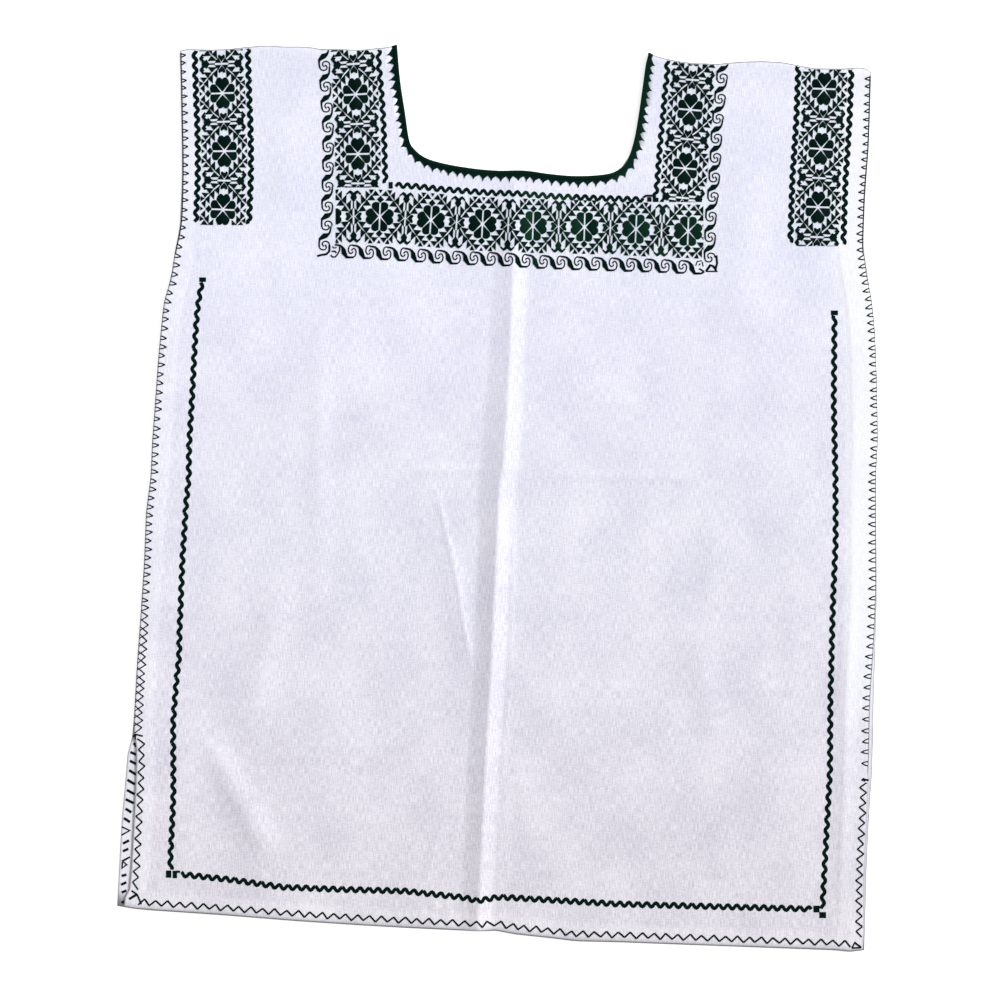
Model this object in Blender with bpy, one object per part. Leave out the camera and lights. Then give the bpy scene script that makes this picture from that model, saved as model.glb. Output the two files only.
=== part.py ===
"""Embroidered cotton top laid flat, front up: one length folded at the shoulders, with a worked neck edge.

Sizes in the tables are millimetres. x runs to the right of the laid garment, y to the neck, z up.
"""

import math

import bmesh
import bpy
import numpy as np

MM = 0.001

# Middle of the laid garment in the tables' own x and y, which becomes the origin.
LAID_CENTRE = (-0.27, -0.25)

# Cloth and how it lies.
CLOTH = 1.0
PANEL_GAP = 0.3
FOLD_LIFT = 1.0
FOLD_LIFT_REACH = 16.0
HEM_RISE = 0.35
HEM_DEPTH = 14.0

# Worked neck edge.
EDGING_WIDTH = 4.6
EDGING_THICK = 1.5
EDGING_CLEAR = 0.35

# Shoulder fold from the left end to the right end, as (x, y).
FOLD_LINE = (
    (-256.1, 361.0),
    (-214.2, 362.7),
    (-189.2, 365.1),
    (-152.1, 363.5),
    (-84.4, 365.1),
    (121.9, 358.6),
    (135.6, 354.6),
    (159.8, 350.6),
    (179.2, 349.8),
    (199.3, 352.2),
    (230.0, 351.4),
    (250.1, 347.3),
    (270.3, 344.9),
    (289.6, 347.3),
    (300.9, 342.5),
)

# Left edge down the front, as (x, y): armhole, side seam, vent, hem corner.
FRONT_LEFT = (
    (-256.1, 361.0),
    (-255.3, 315.9),
    (-254.5, 269.2),
    (-255.3, 230.5),
    (-256.9, 215.2),
    (-260.1, 199.8),
    (-263.3, 178.1),
    (-269.0, 157.9),
    (-271.4, 137.0),
    (-273.8, 111.2),
    (-276.2, 78.1),
    (-278.6, 45.1),
    (-279.8, 17.7),
    (-283.5, -12.1),
    (-285.1, -52.4),
    (-287.8, -92.7),
    (-290.7, -132.2),
    (-292.3, -159.6),
    (-293.5, -183.0),
    (-292.9, -191.1),
    (-291.5, -199.9),
    (-291.5, -219.3),
    (-293.1, -253.9),
    (-295.6, -300.7),
    (-297.2, -316.0),
    (-300.6, -321.6),
    (-301.2, -328.1),
)

# Left edge of the back, which stands out of the vent, as (x, y).
BACK_LEFT = (
    (-293.9, -183.0),
    (-294.8, -192.7),
    (-297.3, -199.5),
    (-298.6, -207.2),
    (-300.4, -229.8),
    (-303.1, -258.0),
    (-305.1, -293.4),
    (-306.0, -312.0),
    (-306.9, -328.9),
)

# Right edge down the front, as (x, y).
FRONT_RIGHT = (
    (300.9, 342.5),
    (300.5, 315.9),
    (299.3, 282.1),
    (296.8, 249.0),
    (295.6, 222.4),
    (295.2, 202.3),
    (297.3, 182.1),
    (301.4, 160.4),
    (304.1, 134.6),
    (305.7, 95.1),
    (306.5, 46.7),
    (304.9, 14.5),
    (304.9, -42.8),
    (304.9, -75.8),
    (303.3, -114.5),
    (300.1, -162.9),
    (299.3, -199.1),
    (298.6, -221.7),
    (298.3, -243.5),
    (296.5, -278.1),
    (295.2, -307.9),
    (295.1, -344.2),
    (294.4, -364.4),
)

# Right edge of the back, a little outside the front's, as (x, y).
BACK_RIGHT = (
    (305.7, -42.8),
    (306.0, -75.8),
    (304.9, -114.5),
    (303.3, -162.9),
    (302.7, -199.1),
    (301.9, -223.3),
    (300.9, -235.4),
    (298.5, -278.1),
    (297.3, -307.9),
    (296.7, -335.3),
    (295.7, -365.2),
)

# Hem from left to right, as (x, y).
HEM_LINE = (
    (-306.8, -328.1),
    (-293.1, -330.5),
    (-280.2, -331.7),
    (-221.4, -335.7),
    (-160.2, -340.6),
    (-111.0, -343.8),
    (-75.5, -345.8),
    (-15.9, -348.6),
    (-1.4, -348.2),
    (13.9, -351.1),
    (43.8, -354.3),
    (63.1, -356.7),
    (98.6, -357.5),
    (184.8, -360.7),
    (227.5, -362.3),
    (271.1, -363.9),
    (284.0, -365.2),
    (295.2, -363.9),
)
BACK_HEM_DROP = 0.9

# Edge of the neck opening from the left shoulder round to the right, as (x, y).
NECK_LINE = (
    (-81.2, 364.9),
    (-78.7, 336.9),
    (-74.7, 310.3),
    (-71.5, 289.3),
    (-67.5, 281.3),
    (-57.8, 274.0),
    (-41.7, 269.2),
    (-19.1, 265.5),
    (1.0, 263.8),
    (22.0, 263.8),
    (42.2, 261.1),
    (62.3, 259.5),
    (82.1, 260.3),
    (93.7, 262.7),
    (101.8, 268.4),
    (106.6, 277.2),
    (110.7, 291.7),
    (113.9, 310.3),
    (117.1, 332.8),
    (119.5, 349.8),
    (121.9, 359.0),
)

# Pressed crease down the middle of the front, as (y, x, height, reach to the left, reach to the right).
CREASE = (
    (361.0, 14.0, 0.0, 12.0, 8.0),
    (256.0, 13.1, 0.3, 12.0, 8.0),
    (179.7, 12.0, 1.6, 13.0, 8.0),
    (79.8, 8.3, 2.6, 14.0, 9.0),
    (19.3, 3.5, 3.2, 15.0, 9.0),
    (-46.8, -0.6, 2.8, 15.0, 9.0),
    (-127.4, -4.6, 2.4, 14.0, 9.0),
    (-222.5, -10.2, 2.1, 13.0, 9.0),
    (-348.2, -15.9, 1.8, 12.0, 9.0),
)

# Soft folds of the front, as (start x, start y, end x, end y, reach, height).
SOFT_FOLDS = (
    (-243.0, -204.0, -194.0, -298.0, 10.0, 1.3),
    (-175.0, -60.0, -205.0, -190.0, 16.0, 0.8),
    (-144.0, 165.0, -146.0, -110.0, 7.0, 0.5),
    (-42.0, -26.0, -22.0, -155.0, 9.0, 0.7),
    (158.0, -95.0, 176.0, -215.0, 10.0, 0.9),
    (282.0, -50.0, 276.0, -330.0, 7.0, 0.8),
    (205.0, 300.0, 190.0, 150.0, 18.0, 0.7),
    (-170.0, 320.0, -176.0, 150.0, 16.0, 0.6),
)

# Where the columns stand: parts of the way from the left edge to the crease, and from the crease to the right edge.
LEFT_COLUMNS = (0.0, 0.045, 0.062) + tuple(0.062 + 0.0444 * k for k in range(1, 19))
LEFT_CREASE_COLUMNS = (0.900, 0.928, 0.952, 0.970, 0.986, 1.0)
RIGHT_CREASE_COLUMNS = (0.009, 0.018, 0.028, 0.042, 0.062, 0.088)
RIGHT_COLUMNS = tuple(0.088 + 0.0444 * k for k in range(1, 19)) + (0.918, 0.945, 1.0)

# Where the rows stand: parts of the way from the shoulder fold to the hem.
FRONT_ROWS = (0.0, 0.008, 0.019) + tuple(0.019 + 0.0175 * k for k in range(1, 55)) + (0.977, 0.984, 1.0)
BACK_ROWS = (0.0, 0.03, 0.10, 0.17, 0.24, 0.31, 0.38, 0.45, 0.52, 0.59, 0.66, 0.71, 0.74, 0.765, 0.80, 0.86, 0.93, 1.0)
NOSE_ANGLES = (58.0, 20.0, -20.0, -58.0)

FRONT_UNDER = CLOTH + PANEL_GAP
FRONT_OUTER = FRONT_UNDER + CLOTH


def clear_scene():
    for found in list(bpy.data.objects):
        bpy.data.objects.remove(found)


def along(table, value, key, wanted):
    """Value of one named column of a table at a place along another."""
    rows = sorted(table, key=lambda row: row[key])
    keys = [row[key] for row in rows]
    return np.interp(value, keys, [row[wanted] for row in rows])


def placed(point):
    """Point of the tables as a place in metres."""
    return ((point[0] - LAID_CENTRE[0]) * MM, (point[1] - LAID_CENTRE[1]) * MM, point[2] * MM)


def edge_x(table, y):
    return along(table, y, 1, 0)


def line_y(table, x):
    return along(table, x, 0, 1)


def crease_height(x, y):
    """Rise of the pressed crease: steep on its right, longer on its left."""
    middle = along(CREASE, y, 0, 1)
    height = along(CREASE, y, 0, 2)
    left_reach = along(CREASE, y, 0, 3)
    right_reach = along(CREASE, y, 0, 4)
    off = x - middle
    reach = np.where(off < 0, left_reach, right_reach)
    return height * np.exp(-((np.abs(off) / reach) ** 1.4) * 1.6)


def fold_height(x, y):
    """Rise of the soft folds, each fading out at both of its ends."""
    total = np.zeros_like(x)
    for start_x, start_y, end_x, end_y, reach, height in SOFT_FOLDS:
        run_x = end_x - start_x
        run_y = end_y - start_y
        length = math.hypot(run_x, run_y)
        part = ((x - start_x) * run_x + (y - start_y) * run_y) / length**2
        across = np.abs((x - start_x) * run_y - (y - start_y) * run_x) / length
        fade = np.clip(part * 4, 0, 1) * np.clip((1 - part) * 4, 0, 1)
        total += height * fade * np.exp(-((across / reach) ** 2))
    return total


def lift(x, y):
    """How far the front stands above its lowest level."""
    x = np.asarray(x, float)
    y = np.asarray(y, float)
    from_fold = np.clip(line_y(FOLD_LINE, x) - y, 0, None)
    at_fold = FOLD_LIFT * np.exp(-((from_fold / FOLD_LIFT_REACH) ** 2))
    left_in = x - edge_x(FRONT_LEFT, y)
    right_in = edge_x(FRONT_RIGHT, y) - x
    hem_in = y - line_y(HEM_LINE, x)
    nearest = np.minimum(np.minimum(left_in, right_in), hem_in)
    doubled = HEM_RISE * np.clip((HEM_DEPTH + 2.5 - nearest) / 2.5, 0, 1) * (y < 200)
    return crease_height(x, y) + fold_height(x, y) + at_fold + doubled


def joined_edge(upper, lower):
    """The front's edge down to where the back's own edge begins, and the back's from there."""
    start = max(row[1] for row in lower)
    return tuple(row for row in upper if row[1] > start + 1.0) + tuple(lower)


def panel_points(left_edge, right_edge, hem_drop, rows, fold_radius):
    """Plan points of one panel: rows from the shoulder fold to the hem, columns gathered at the crease."""
    count = len(LEFT_COLUMNS) + len(LEFT_CREASE_COLUMNS) + len(RIGHT_CREASE_COLUMNS) + len(RIGHT_COLUMNS)
    t = np.repeat(np.array(rows)[:, None], count, axis=1)
    y = 361.0 - 722.0 * t
    left_parts = np.array(LEFT_COLUMNS + LEFT_CREASE_COLUMNS)
    right_parts = np.array(RIGHT_CREASE_COLUMNS + RIGHT_COLUMNS)
    for _ in range(6):
        left = edge_x(left_edge, y[:, : len(left_parts)])
        middle_left = along(CREASE, y[:, : len(left_parts)], 0, 1)
        middle_right = along(CREASE, y[:, len(left_parts) :], 0, 1)
        right = edge_x(right_edge, y[:, len(left_parts) :])
        x = np.concatenate(
            (left + (middle_left - left) * left_parts, middle_right + (right - middle_right) * right_parts),
            axis=1,
        )
        top = line_y(FOLD_LINE, x) - fold_radius
        bottom = line_y(HEM_LINE, x) - hem_drop
        y = top + (bottom - top) * t
    return x, y


def closed_wall(outer, inner, name):
    """One closed solid between two grids of points."""
    rows, columns, _ = outer.shape
    mesh = bmesh.new()
    sides = []
    for grid in (outer, inner):
        sides.append([[mesh.verts.new(placed(grid[r, c])) for c in range(columns)] for r in range(rows)])
    top, under = sides
    for r in range(rows - 1):
        for c in range(columns - 1):
            mesh.faces.new((top[r][c], top[r + 1][c], top[r + 1][c + 1], top[r][c + 1]))
            mesh.faces.new((under[r][c], under[r][c + 1], under[r + 1][c + 1], under[r + 1][c]))
        mesh.faces.new((top[r][0], under[r][0], under[r + 1][0], top[r + 1][0]))
        mesh.faces.new((top[r][-1], top[r + 1][-1], under[r + 1][-1], under[r][-1]))
    for c in range(columns - 1):
        mesh.faces.new((top[0][c], top[0][c + 1], under[0][c + 1], under[0][c]))
        mesh.faces.new((top[-1][c], under[-1][c], under[-1][c + 1], top[-1][c + 1]))
    bmesh.ops.triangulate(mesh, faces=mesh.faces[:])
    data = bpy.data.meshes.new(name)
    mesh.to_mesh(data)
    mesh.free()
    return bpy.data.objects.new(name, data)


def smooth_line(points, steps):
    """Rounded line through the points of a table, with the given number of steps between two of them."""
    table = np.array(points, float)
    ends = np.vstack((2 * table[0] - table[1], table, 2 * table[-1] - table[-2]))
    found = []
    for k in range(1, len(ends) - 2):
        a, b, c, d = ends[k - 1 : k + 3]
        for s in range(steps):
            u = s / steps
            found.append(
                0.5 * (2 * b + (c - a) * u + (2 * a - 5 * b + 4 * c - d) * u**2 + (3 * b - a - 3 * c + d) * u**3)
            )
    found.append(table[-1])
    return np.array(found)


def into_cloth(line):
    """Unit directions square to the neck edge, pointing into the cloth."""
    run = np.gradient(line, axis=0)
    run /= np.linalg.norm(run, axis=1)[:, None]
    return np.stack((run[:, 1], -run[:, 0]), axis=1)


def cloth_colour(name, colour, roughness):
    material = bpy.data.materials.new(name)
    material.use_nodes = True
    shader = material.node_tree.nodes["Principled BSDF"]
    shader.inputs["Base Color"].default_value = colour
    shader.inputs["Roughness"].default_value = roughness
    return material


def collection_named(name):
    made = bpy.data.collections.new(name)
    bpy.context.scene.collection.children.link(made)
    return made


def folded_body():
    """Front, shoulder fold and back as one wall of cloth."""
    radius_out = (FRONT_OUTER + FOLD_LIFT) / 2
    radius_in = radius_out - CLOTH
    front_x, front_y = panel_points(FRONT_LEFT, FRONT_RIGHT, 0.0, FRONT_ROWS, radius_out)
    back_left = joined_edge(FRONT_LEFT, BACK_LEFT)
    back_right = joined_edge(FRONT_RIGHT, BACK_RIGHT)
    back_x, back_y = panel_points(back_left, back_right, BACK_HEM_DROP, BACK_ROWS, radius_out)
    rise = lift(front_x, front_y)
    rise[0] = FOLD_LIFT
    outer = [np.stack((front_x, front_y, FRONT_OUTER + rise), axis=2)[::-1]]
    inner = [np.stack((front_x, front_y, FRONT_UNDER + rise), axis=2)[::-1]]
    for angle in NOSE_ANGLES:
        turn = math.radians(angle)
        for rows, radius in ((outer, radius_out), (inner, radius_in)):
            nose_y = front_y[0] + radius * math.cos(turn)
            nose_z = np.full_like(nose_y, radius_out + radius * math.sin(turn))
            rows.append(np.stack((front_x[0], nose_y, nose_z), axis=1)[None])
    outer.append(np.stack((back_x, back_y, np.zeros_like(back_x)), axis=2))
    inner.append(np.stack((back_x, back_y, np.full_like(back_x, CLOTH)), axis=2))
    return closed_wall(np.concatenate(outer)[::-1], np.concatenate(inner)[::-1], "body")


def neck_cutter(line):
    """Block that cuts the neck out of both layers, set back to leave room for the worked edge."""
    edge = line + into_cloth(line) * (EDGING_WIDTH + EDGING_CLEAR)
    edge[0] = (edge[0][0], line[0][1] - 2.0)
    edge[-1] = (edge[-1][0], line[-1][1] - 2.0)
    outline = np.vstack(([edge[0][0], 400.0], edge, [edge[-1][0], 400.0]))
    mesh = bmesh.new()
    under = [mesh.verts.new(placed((x, y, -5.0))) for x, y in outline]
    top = [mesh.verts.new(placed((x, y, 15.0))) for x, y in outline]
    mesh.faces.new(top)
    mesh.faces.new(under[::-1])
    for k in range(len(outline)):
        n = (k + 1) % len(outline)
        mesh.faces.new((under[k], under[n], top[n], top[k]))
    bmesh.ops.recalc_face_normals(mesh, faces=mesh.faces[:])
    data = bpy.data.meshes.new("neck_cutter")
    mesh.to_mesh(data)
    mesh.free()
    return bpy.data.objects.new("neck_cutter", data)


def edging_rings(line):
    """Sections of the worked edge: along the front, over the right fold, along the back, over the left fold."""
    inward = into_cloth(line)
    half = EDGING_THICK / 2
    section = (
        (0.0, -0.45),
        (0.0, 0.45),
        (0.22, 0.95),
        (0.62, 1.0),
        (1.0, 0.6),
        (1.0, -0.6),
        (0.62, -1.0),
        (0.22, -0.95),
    )
    radius = (FRONT_OUTER + FOLD_LIFT) / 2
    middle_front = FRONT_UNDER + CLOTH / 2 + lift(line[:, 0], line[:, 1])
    back_half = (CLOTH + 0.1) / 2
    rings = []
    start_y = (line_y(FOLD_LINE, line[0][0]) - radius, line_y(FOLD_LINE, line[-1][0]) - radius)
    ends = ((line[0][0], start_y[0], inward[0]), (line[-1][0], start_y[1], inward[-1]))
    flat = [k for k in range(len(line)) if line[k][1] < (start_y[0] if k < len(line) // 2 else start_y[1]) - 1.0]
    for k in flat:
        rings.append(
            [
                (*(line[k] + inward[k] * EDGING_WIDTH * across), middle_front[k] + half * rise)
                for across, rise in section
            ]
        )
    rings.extend(nose_rings(ends[1], radius, section, half, (90.0, 55.0, 18.0, -18.0, -55.0, -90.0), back_half))
    for k in flat[::-1]:
        rings.append(
            [
                (*(line[k] + inward[k] * EDGING_WIDTH * across), back_half - back_half * rise)
                for across, rise in section
            ]
        )
    rings.extend(nose_rings(ends[0], radius, section, half, (-90.0, -55.0, -18.0, 18.0, 55.0, 90.0), back_half))
    return np.array(rings)


def nose_rings(end, radius, section, half, angles, back_half):
    """Sections of the worked edge where it turns over a shoulder fold."""
    x, y, inward = end
    rings = []
    side = 1.0 if inward[0] > 0 else -1.0
    for angle in angles:
        turn = math.radians(angle)
        part = (90.0 - angle) / 180.0
        thick = half + (back_half - half) * part
        level = radius - (CLOTH / 2) + (CLOTH / 2 - back_half) * part
        rings.append(
            [
                (
                    x + side * EDGING_WIDTH * across,
                    y + (level + thick * rise) * math.cos(turn),
                    radius + (level + thick * rise) * math.sin(turn),
                )
                for across, rise in section
            ]
        )
    return rings


def ring_solid(rings, name):
    """One closed solid through sections that run round to the first again."""
    mesh = bmesh.new()
    made = [[mesh.verts.new(placed(point)) for point in ring] for ring in rings]
    for k in range(len(made)):
        here = made[k]
        after = made[(k + 1) % len(made)]
        for j in range(len(here)):
            n = (j + 1) % len(here)
            mesh.faces.new((here[j], here[n], after[n], after[j]))
    bmesh.ops.recalc_face_normals(mesh, faces=mesh.faces[:])
    bmesh.ops.triangulate(mesh, faces=mesh.faces[:])
    data = bpy.data.meshes.new(name)
    mesh.to_mesh(data)
    mesh.free()
    return bpy.data.objects.new(name, data)


clear_scene()
garment = collection_named("embroidered_top")
cutters = collection_named("cutters")

neck_line = smooth_line(NECK_LINE, 2)

body = folded_body()
body.data.materials.append(cloth_colour("white_cotton", (0.80, 0.80, 0.83, 1.0), 0.9))
garment.objects.link(body)

cutter = neck_cutter(neck_line)
cutters.objects.link(cutter)
cutter.hide_render = True
cutter.display_type = "WIRE"
cut = body.modifiers.new("neck", "BOOLEAN")
cut.operation = "DIFFERENCE"
cut.solver = "EXACT"
cut.object = cutter

neck_edging = ring_solid(edging_rings(neck_line), "neck_edging")
neck_edging.data.materials.append(cloth_colour("green_thread", (0.006, 0.030, 0.022, 1.0), 0.55))
garment.objects.link(neck_edging)
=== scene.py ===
"""Looks of the embroidered cotton top: the laid cloth, its worked neck edge and its dark green stitching.

Sizes in the tables are millimetres, in the laid garment's own x (to its right) and y (to its neck).
"""

import math

import bpy
import numpy as np
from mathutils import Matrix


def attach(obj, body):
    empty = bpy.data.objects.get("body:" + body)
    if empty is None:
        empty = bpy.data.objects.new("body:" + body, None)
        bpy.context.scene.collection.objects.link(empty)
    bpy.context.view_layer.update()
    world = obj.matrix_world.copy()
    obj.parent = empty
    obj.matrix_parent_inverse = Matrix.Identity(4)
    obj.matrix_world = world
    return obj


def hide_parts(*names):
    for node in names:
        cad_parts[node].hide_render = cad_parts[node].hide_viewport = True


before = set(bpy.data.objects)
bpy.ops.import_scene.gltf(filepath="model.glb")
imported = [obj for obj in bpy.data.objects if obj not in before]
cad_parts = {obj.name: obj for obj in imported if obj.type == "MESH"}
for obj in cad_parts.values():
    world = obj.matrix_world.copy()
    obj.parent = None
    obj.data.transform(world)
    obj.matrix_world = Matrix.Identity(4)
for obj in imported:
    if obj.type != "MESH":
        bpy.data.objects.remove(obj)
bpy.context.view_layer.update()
bpy.ops.object.select_all(action="DESELECT")

# The cloth is one length of plain white cotton, folded once at the shoulders, so that its front and back
# are one sheet with the neck cut out of both. It lies flat, front up, with a storage crease down its
# middle, and the turned-in allowances at its sides and hem show as slightly raised edges.
MM = 0.001
LAID_CENTRE = (-0.27, -0.25)
FRONT_OUTER = 2.3
BACK_OUTER = 0.35
CLOTH_THICK = 0.8
FOLD_LIFT = 1.0
FOLD_LIFT_REACH = 16.0
NOSE_RADIUS = (FRONT_OUTER + FOLD_LIFT - BACK_OUTER) / 2
NOSE_RUN = math.pi * NOSE_RADIUS
SHOULDER_SETBACK = 1.65
BACK_HEM_DROP = 0.9
ALLOWANCE_RISE = 0.32
TURN_SLOPE = 2.4
SIDE_SEAM_TOP = 205.0
NECK_TRIM = 2.2

# Width of the allowances turned in at the left edge, the right edge and the hem.
ALLOWANCES = (14.0, 21.0, 13.0)

# Shoulder fold, as (x, y).
FOLD_LINE = (
    (-256.1, 360.8), (-251.9, 361.9), (-247.8, 362.3), (-235.4, 361.7), (-219.0, 362.0), (-210.8, 362.9),
    (-202.5, 363.9), (-190.2, 364.9), (-182.0, 365.0), (-173.8, 364.2), (-157.2, 364.2), (-150.7, 363.8),
    (-143.5, 362.3), (-125.6, 362.2), (-115.3, 361.6), (-107.6, 361.8), (-99.9, 362.7), (-87.0, 363.9),
    (-82.0, 365.1), (122.1, 358.8), (127.0, 356.7), (135.2, 354.5), (143.5, 352.8), (151.7, 351.5),
    (159.9, 350.7), (168.1, 350.7), (176.3, 350.1), (184.6, 351.0), (196.9, 352.0), (213.3, 352.5),
    (229.9, 351.5), (242.3, 349.1), (254.6, 346.7), (270.0, 346.5), (279.3, 346.5), (290.3, 347.4),
    (294.7, 347.0), (297.7, 346.0), (300.9, 343.4),
)

# Left edge down the front, as (x, y): armhole, side seam, vent, hem corner.
FRONT_LEFT = (
    (-256.1, 361.0), (-255.3, 315.9), (-254.5, 269.2), (-255.3, 230.5), (-256.9, 215.2), (-260.1, 199.8),
    (-263.3, 178.1), (-269.0, 157.9), (-271.4, 137.0), (-273.8, 111.2), (-276.2, 78.1), (-278.6, 45.1),
    (-279.8, 17.7), (-283.5, -12.1), (-285.1, -52.4), (-287.8, -92.7), (-290.7, -132.2), (-292.3, -159.6),
    (-293.5, -183.0), (-292.9, -191.1), (-291.5, -199.9), (-291.5, -219.3), (-293.1, -253.9),
    (-295.6, -300.7), (-297.2, -316.0), (-300.6, -321.6), (-301.2, -328.1),
)

# Left edge of the back, which stands out of the vent, as (x, y).
BACK_LEFT = (
    (-293.9, -183.0), (-294.8, -192.7), (-297.3, -199.5), (-298.6, -207.2), (-300.4, -229.8),
    (-303.1, -258.0), (-305.1, -293.4), (-306.0, -312.0), (-306.9, -328.9),
)

# Right edge down the front, as (x, y).
FRONT_RIGHT = (
    (300.9, 342.5), (300.5, 315.9), (299.3, 282.1), (296.8, 249.0), (295.6, 222.4), (295.2, 202.3),
    (297.3, 182.1), (301.4, 160.4), (304.1, 134.6), (305.7, 95.1), (306.5, 46.7), (304.9, 14.5),
    (304.9, -42.8), (304.9, -75.8), (303.3, -114.5), (300.1, -162.9), (299.3, -199.1), (298.6, -221.7),
    (298.3, -243.5), (296.5, -278.1), (295.2, -307.9), (295.1, -344.2), (294.4, -364.4),
)

# Right edge of the back, a little outside the front's, as (x, y).
BACK_RIGHT = (
    (305.7, -42.8), (306.0, -75.8), (304.9, -114.5), (303.3, -162.9), (302.7, -199.1), (301.9, -223.3),
    (300.9, -235.4), (298.5, -278.1), (297.3, -307.9), (296.7, -335.3), (295.7, -365.2),
)

# Hem from left to right, as (x, y).
HEM_LINE = (
    (-306.8, -328.1), (-293.1, -330.5), (-280.2, -331.7), (-221.4, -335.7), (-160.2, -340.6),
    (-111.0, -343.8), (-75.5, -345.8), (-15.9, -348.6), (-1.4, -348.2), (13.9, -351.1), (43.8, -354.3),
    (63.1, -356.7), (98.6, -357.5), (184.8, -360.7), (227.5, -362.3), (271.1, -363.9), (284.0, -365.2),
    (295.2, -363.9),
)

# Storage crease, as (y, x, height, reach to the left, reach to the right).
CREASE = (
    (361.0, 14.0, 0.0, 14.0, 11.0), (256.0, 13.1, 0.6, 15.0, 12.0), (179.7, 12.2, 2.1, 16.0, 12.5),
    (79.8, 8.1, 2.8, 18.0, 13.0), (24.0, 4.4, 3.1, 19.0, 13.5), (10.0, 1.4, 3.3, 18.0, 14.0),
    (-46.8, -1.0, 3.4, 15.5, 13.5), (-127.4, -4.8, 3.1, 15.0, 13.0), (-222.5, -10.2, 2.9, 15.0, 12.5),
    (-348.2, -15.9, 2.5, 14.5, 12.0),
)

# Soft folds and finer creases, as (start x, start y, end x, end y, reach, height).
FOLDS = (
    (-236.0, -190.0, -179.0, -298.0, 10.0, 2.0), (-175.0, -60.0, -200.0, -190.0, 10.0, 0.9),
    (-42.5, -256.3, -61.8, -318.0, 4.0, 0.40), (16.8, -218.0, 26.2, -280.0, 4.0, 0.40),
    (2.0, -235.0, 0.5, -330.0, 2.4, 0.28), (5.5, -225.0, 7.5, -318.0, 2.4, 0.24),
    (-144.0, 165.0, -146.0, -110.0, 7.0, 0.5), (-42.0, -26.0, -22.0, -155.0, 9.0, 0.7),
    (158.0, -95.0, 176.0, -215.0, 10.0, 0.9), (282.0, -50.0, 276.0, -330.0, 7.0, 0.8),
    (205.0, 300.0, 190.0, 150.0, 18.0, 0.7), (-170.0, 320.0, -176.0, 150.0, 16.0, 0.6),
    (13.5, -4.0, 9.5, -150.0, 1.9, 0.45), (10.0, -140.0, 2.0, -240.0, 1.9, 0.40),
    (-50.0, 12.0, -36.5, -55.0, 1.7, 0.50), (-40.0, -25.0, -20.0, -145.0, 1.7, 0.50),
    (-83.0, 21.7, 2.0, 21.7, 2.2, 0.55), (22.0, 17.5, 180.0, 16.5, 2.2, 0.55),
    (-143.2, 168.0, -140.0, -106.0, 2.4, 0.30), (160.6, -262.0, 160.6, -322.0, 2.4, 0.25),
    (171.0, 15.0, 172.0, -125.0, 5.0, 0.35), (236.0, -50.0, 237.0, -180.0, 5.0, 0.30),
    (-120.0, 240.0, -118.0, 120.0, 6.0, 0.25),
)

# Neck edge from the left shoulder fold to the right one, as (x, y).
NECK_LINE = (
    (-81.2, 364.9), (-78.7, 336.9), (-74.7, 310.3), (-71.5, 289.3), (-67.5, 281.3), (-57.8, 274.0),
    (-41.7, 269.2), (-19.1, 265.5), (1.0, 263.8), (22.0, 263.8), (42.2, 261.1), (62.3, 259.5), (82.1, 260.3),
    (93.7, 262.7), (101.8, 268.4), (106.6, 277.2), (110.7, 291.7), (113.9, 310.3), (117.1, 332.8),
    (119.5, 349.8), (121.9, 359.0),
)


def along(table, value, key, wanted):
    """Value of one column of a table at a place along another."""
    rows = sorted(table, key=lambda row: row[key])
    return np.interp(value, [row[key] for row in rows], [row[wanted] for row in rows])


def edge_x(table, y):
    return along(table, y, 1, 0)


def line_y(table, x):
    return along(table, x, 0, 1)


def fold_top(x):
    """Where the front ends and the turn over the shoulder begins."""
    return line_y(FOLD_LINE, x) - SHOULDER_SETBACK


def crease_rise(x, y):
    off = x - along(CREASE, y, 0, 1)
    reach = np.where(off < 0, along(CREASE, y, 0, 3), along(CREASE, y, 0, 4))
    return along(CREASE, y, 0, 2) * np.clip(1 - np.abs(off) / reach, 0, 1) ** 1.2


def fold_rise(x, y):
    total = np.zeros_like(x)
    for start_x, start_y, end_x, end_y, reach, height in FOLDS:
        run_x = end_x - start_x
        run_y = end_y - start_y
        length = math.hypot(run_x, run_y)
        part = ((x - start_x) * run_x + (y - start_y) * run_y) / length**2
        across = np.abs((x - start_x) * run_y - (y - start_y) * run_x) / length
        fade = np.clip(part * 4, 0, 1) * np.clip((1 - part) * 4, 0, 1)
        total += height * fade * np.exp(-((across / reach) ** 2))
    return total


def depths_inside(x, y):
    """How far places on the front are inside the left edge, the right edge and the hem."""
    return x - edge_x(FRONT_LEFT, y), edge_x(FRONT_RIGHT, y) - x, y - line_y(HEM_LINE, x)


def edge_rise(x, y):
    """The turned-in allowances, their puckers, and the rounded edge itself."""
    inside = depths_inside(x, y)
    under = [wide + TURN_SLOPE / 2 - depth for wide, depth in zip(ALLOWANCES, inside)]
    turns = np.clip(np.array(under) / TURN_SLOPE, 0, 1)
    turned = ALLOWANCE_RISE * np.max(turns, axis=0) * np.clip((SIDE_SEAM_TOP - y) / 12, 0, 1)
    side_pucker = 0.16 * np.sin(y / 1.55 + 1.7 * np.sin(y / 31)) * np.exp(-(((inside[1] - 21) / 5) ** 2))
    side_pucker *= np.clip((-y - 140) / 60, 0, 1)
    hem_pucker = 0.13 * np.sin(x / 1.8 + 1.4 * np.sin(x / 37)) * np.exp(-(((inside[2] - 16) / 7) ** 2))
    rounded = -0.45 * np.clip(1 - np.min(inside, axis=0) / 1.3, 0, 1) ** 1.5
    return turned + side_pucker + hem_pucker + rounded


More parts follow.
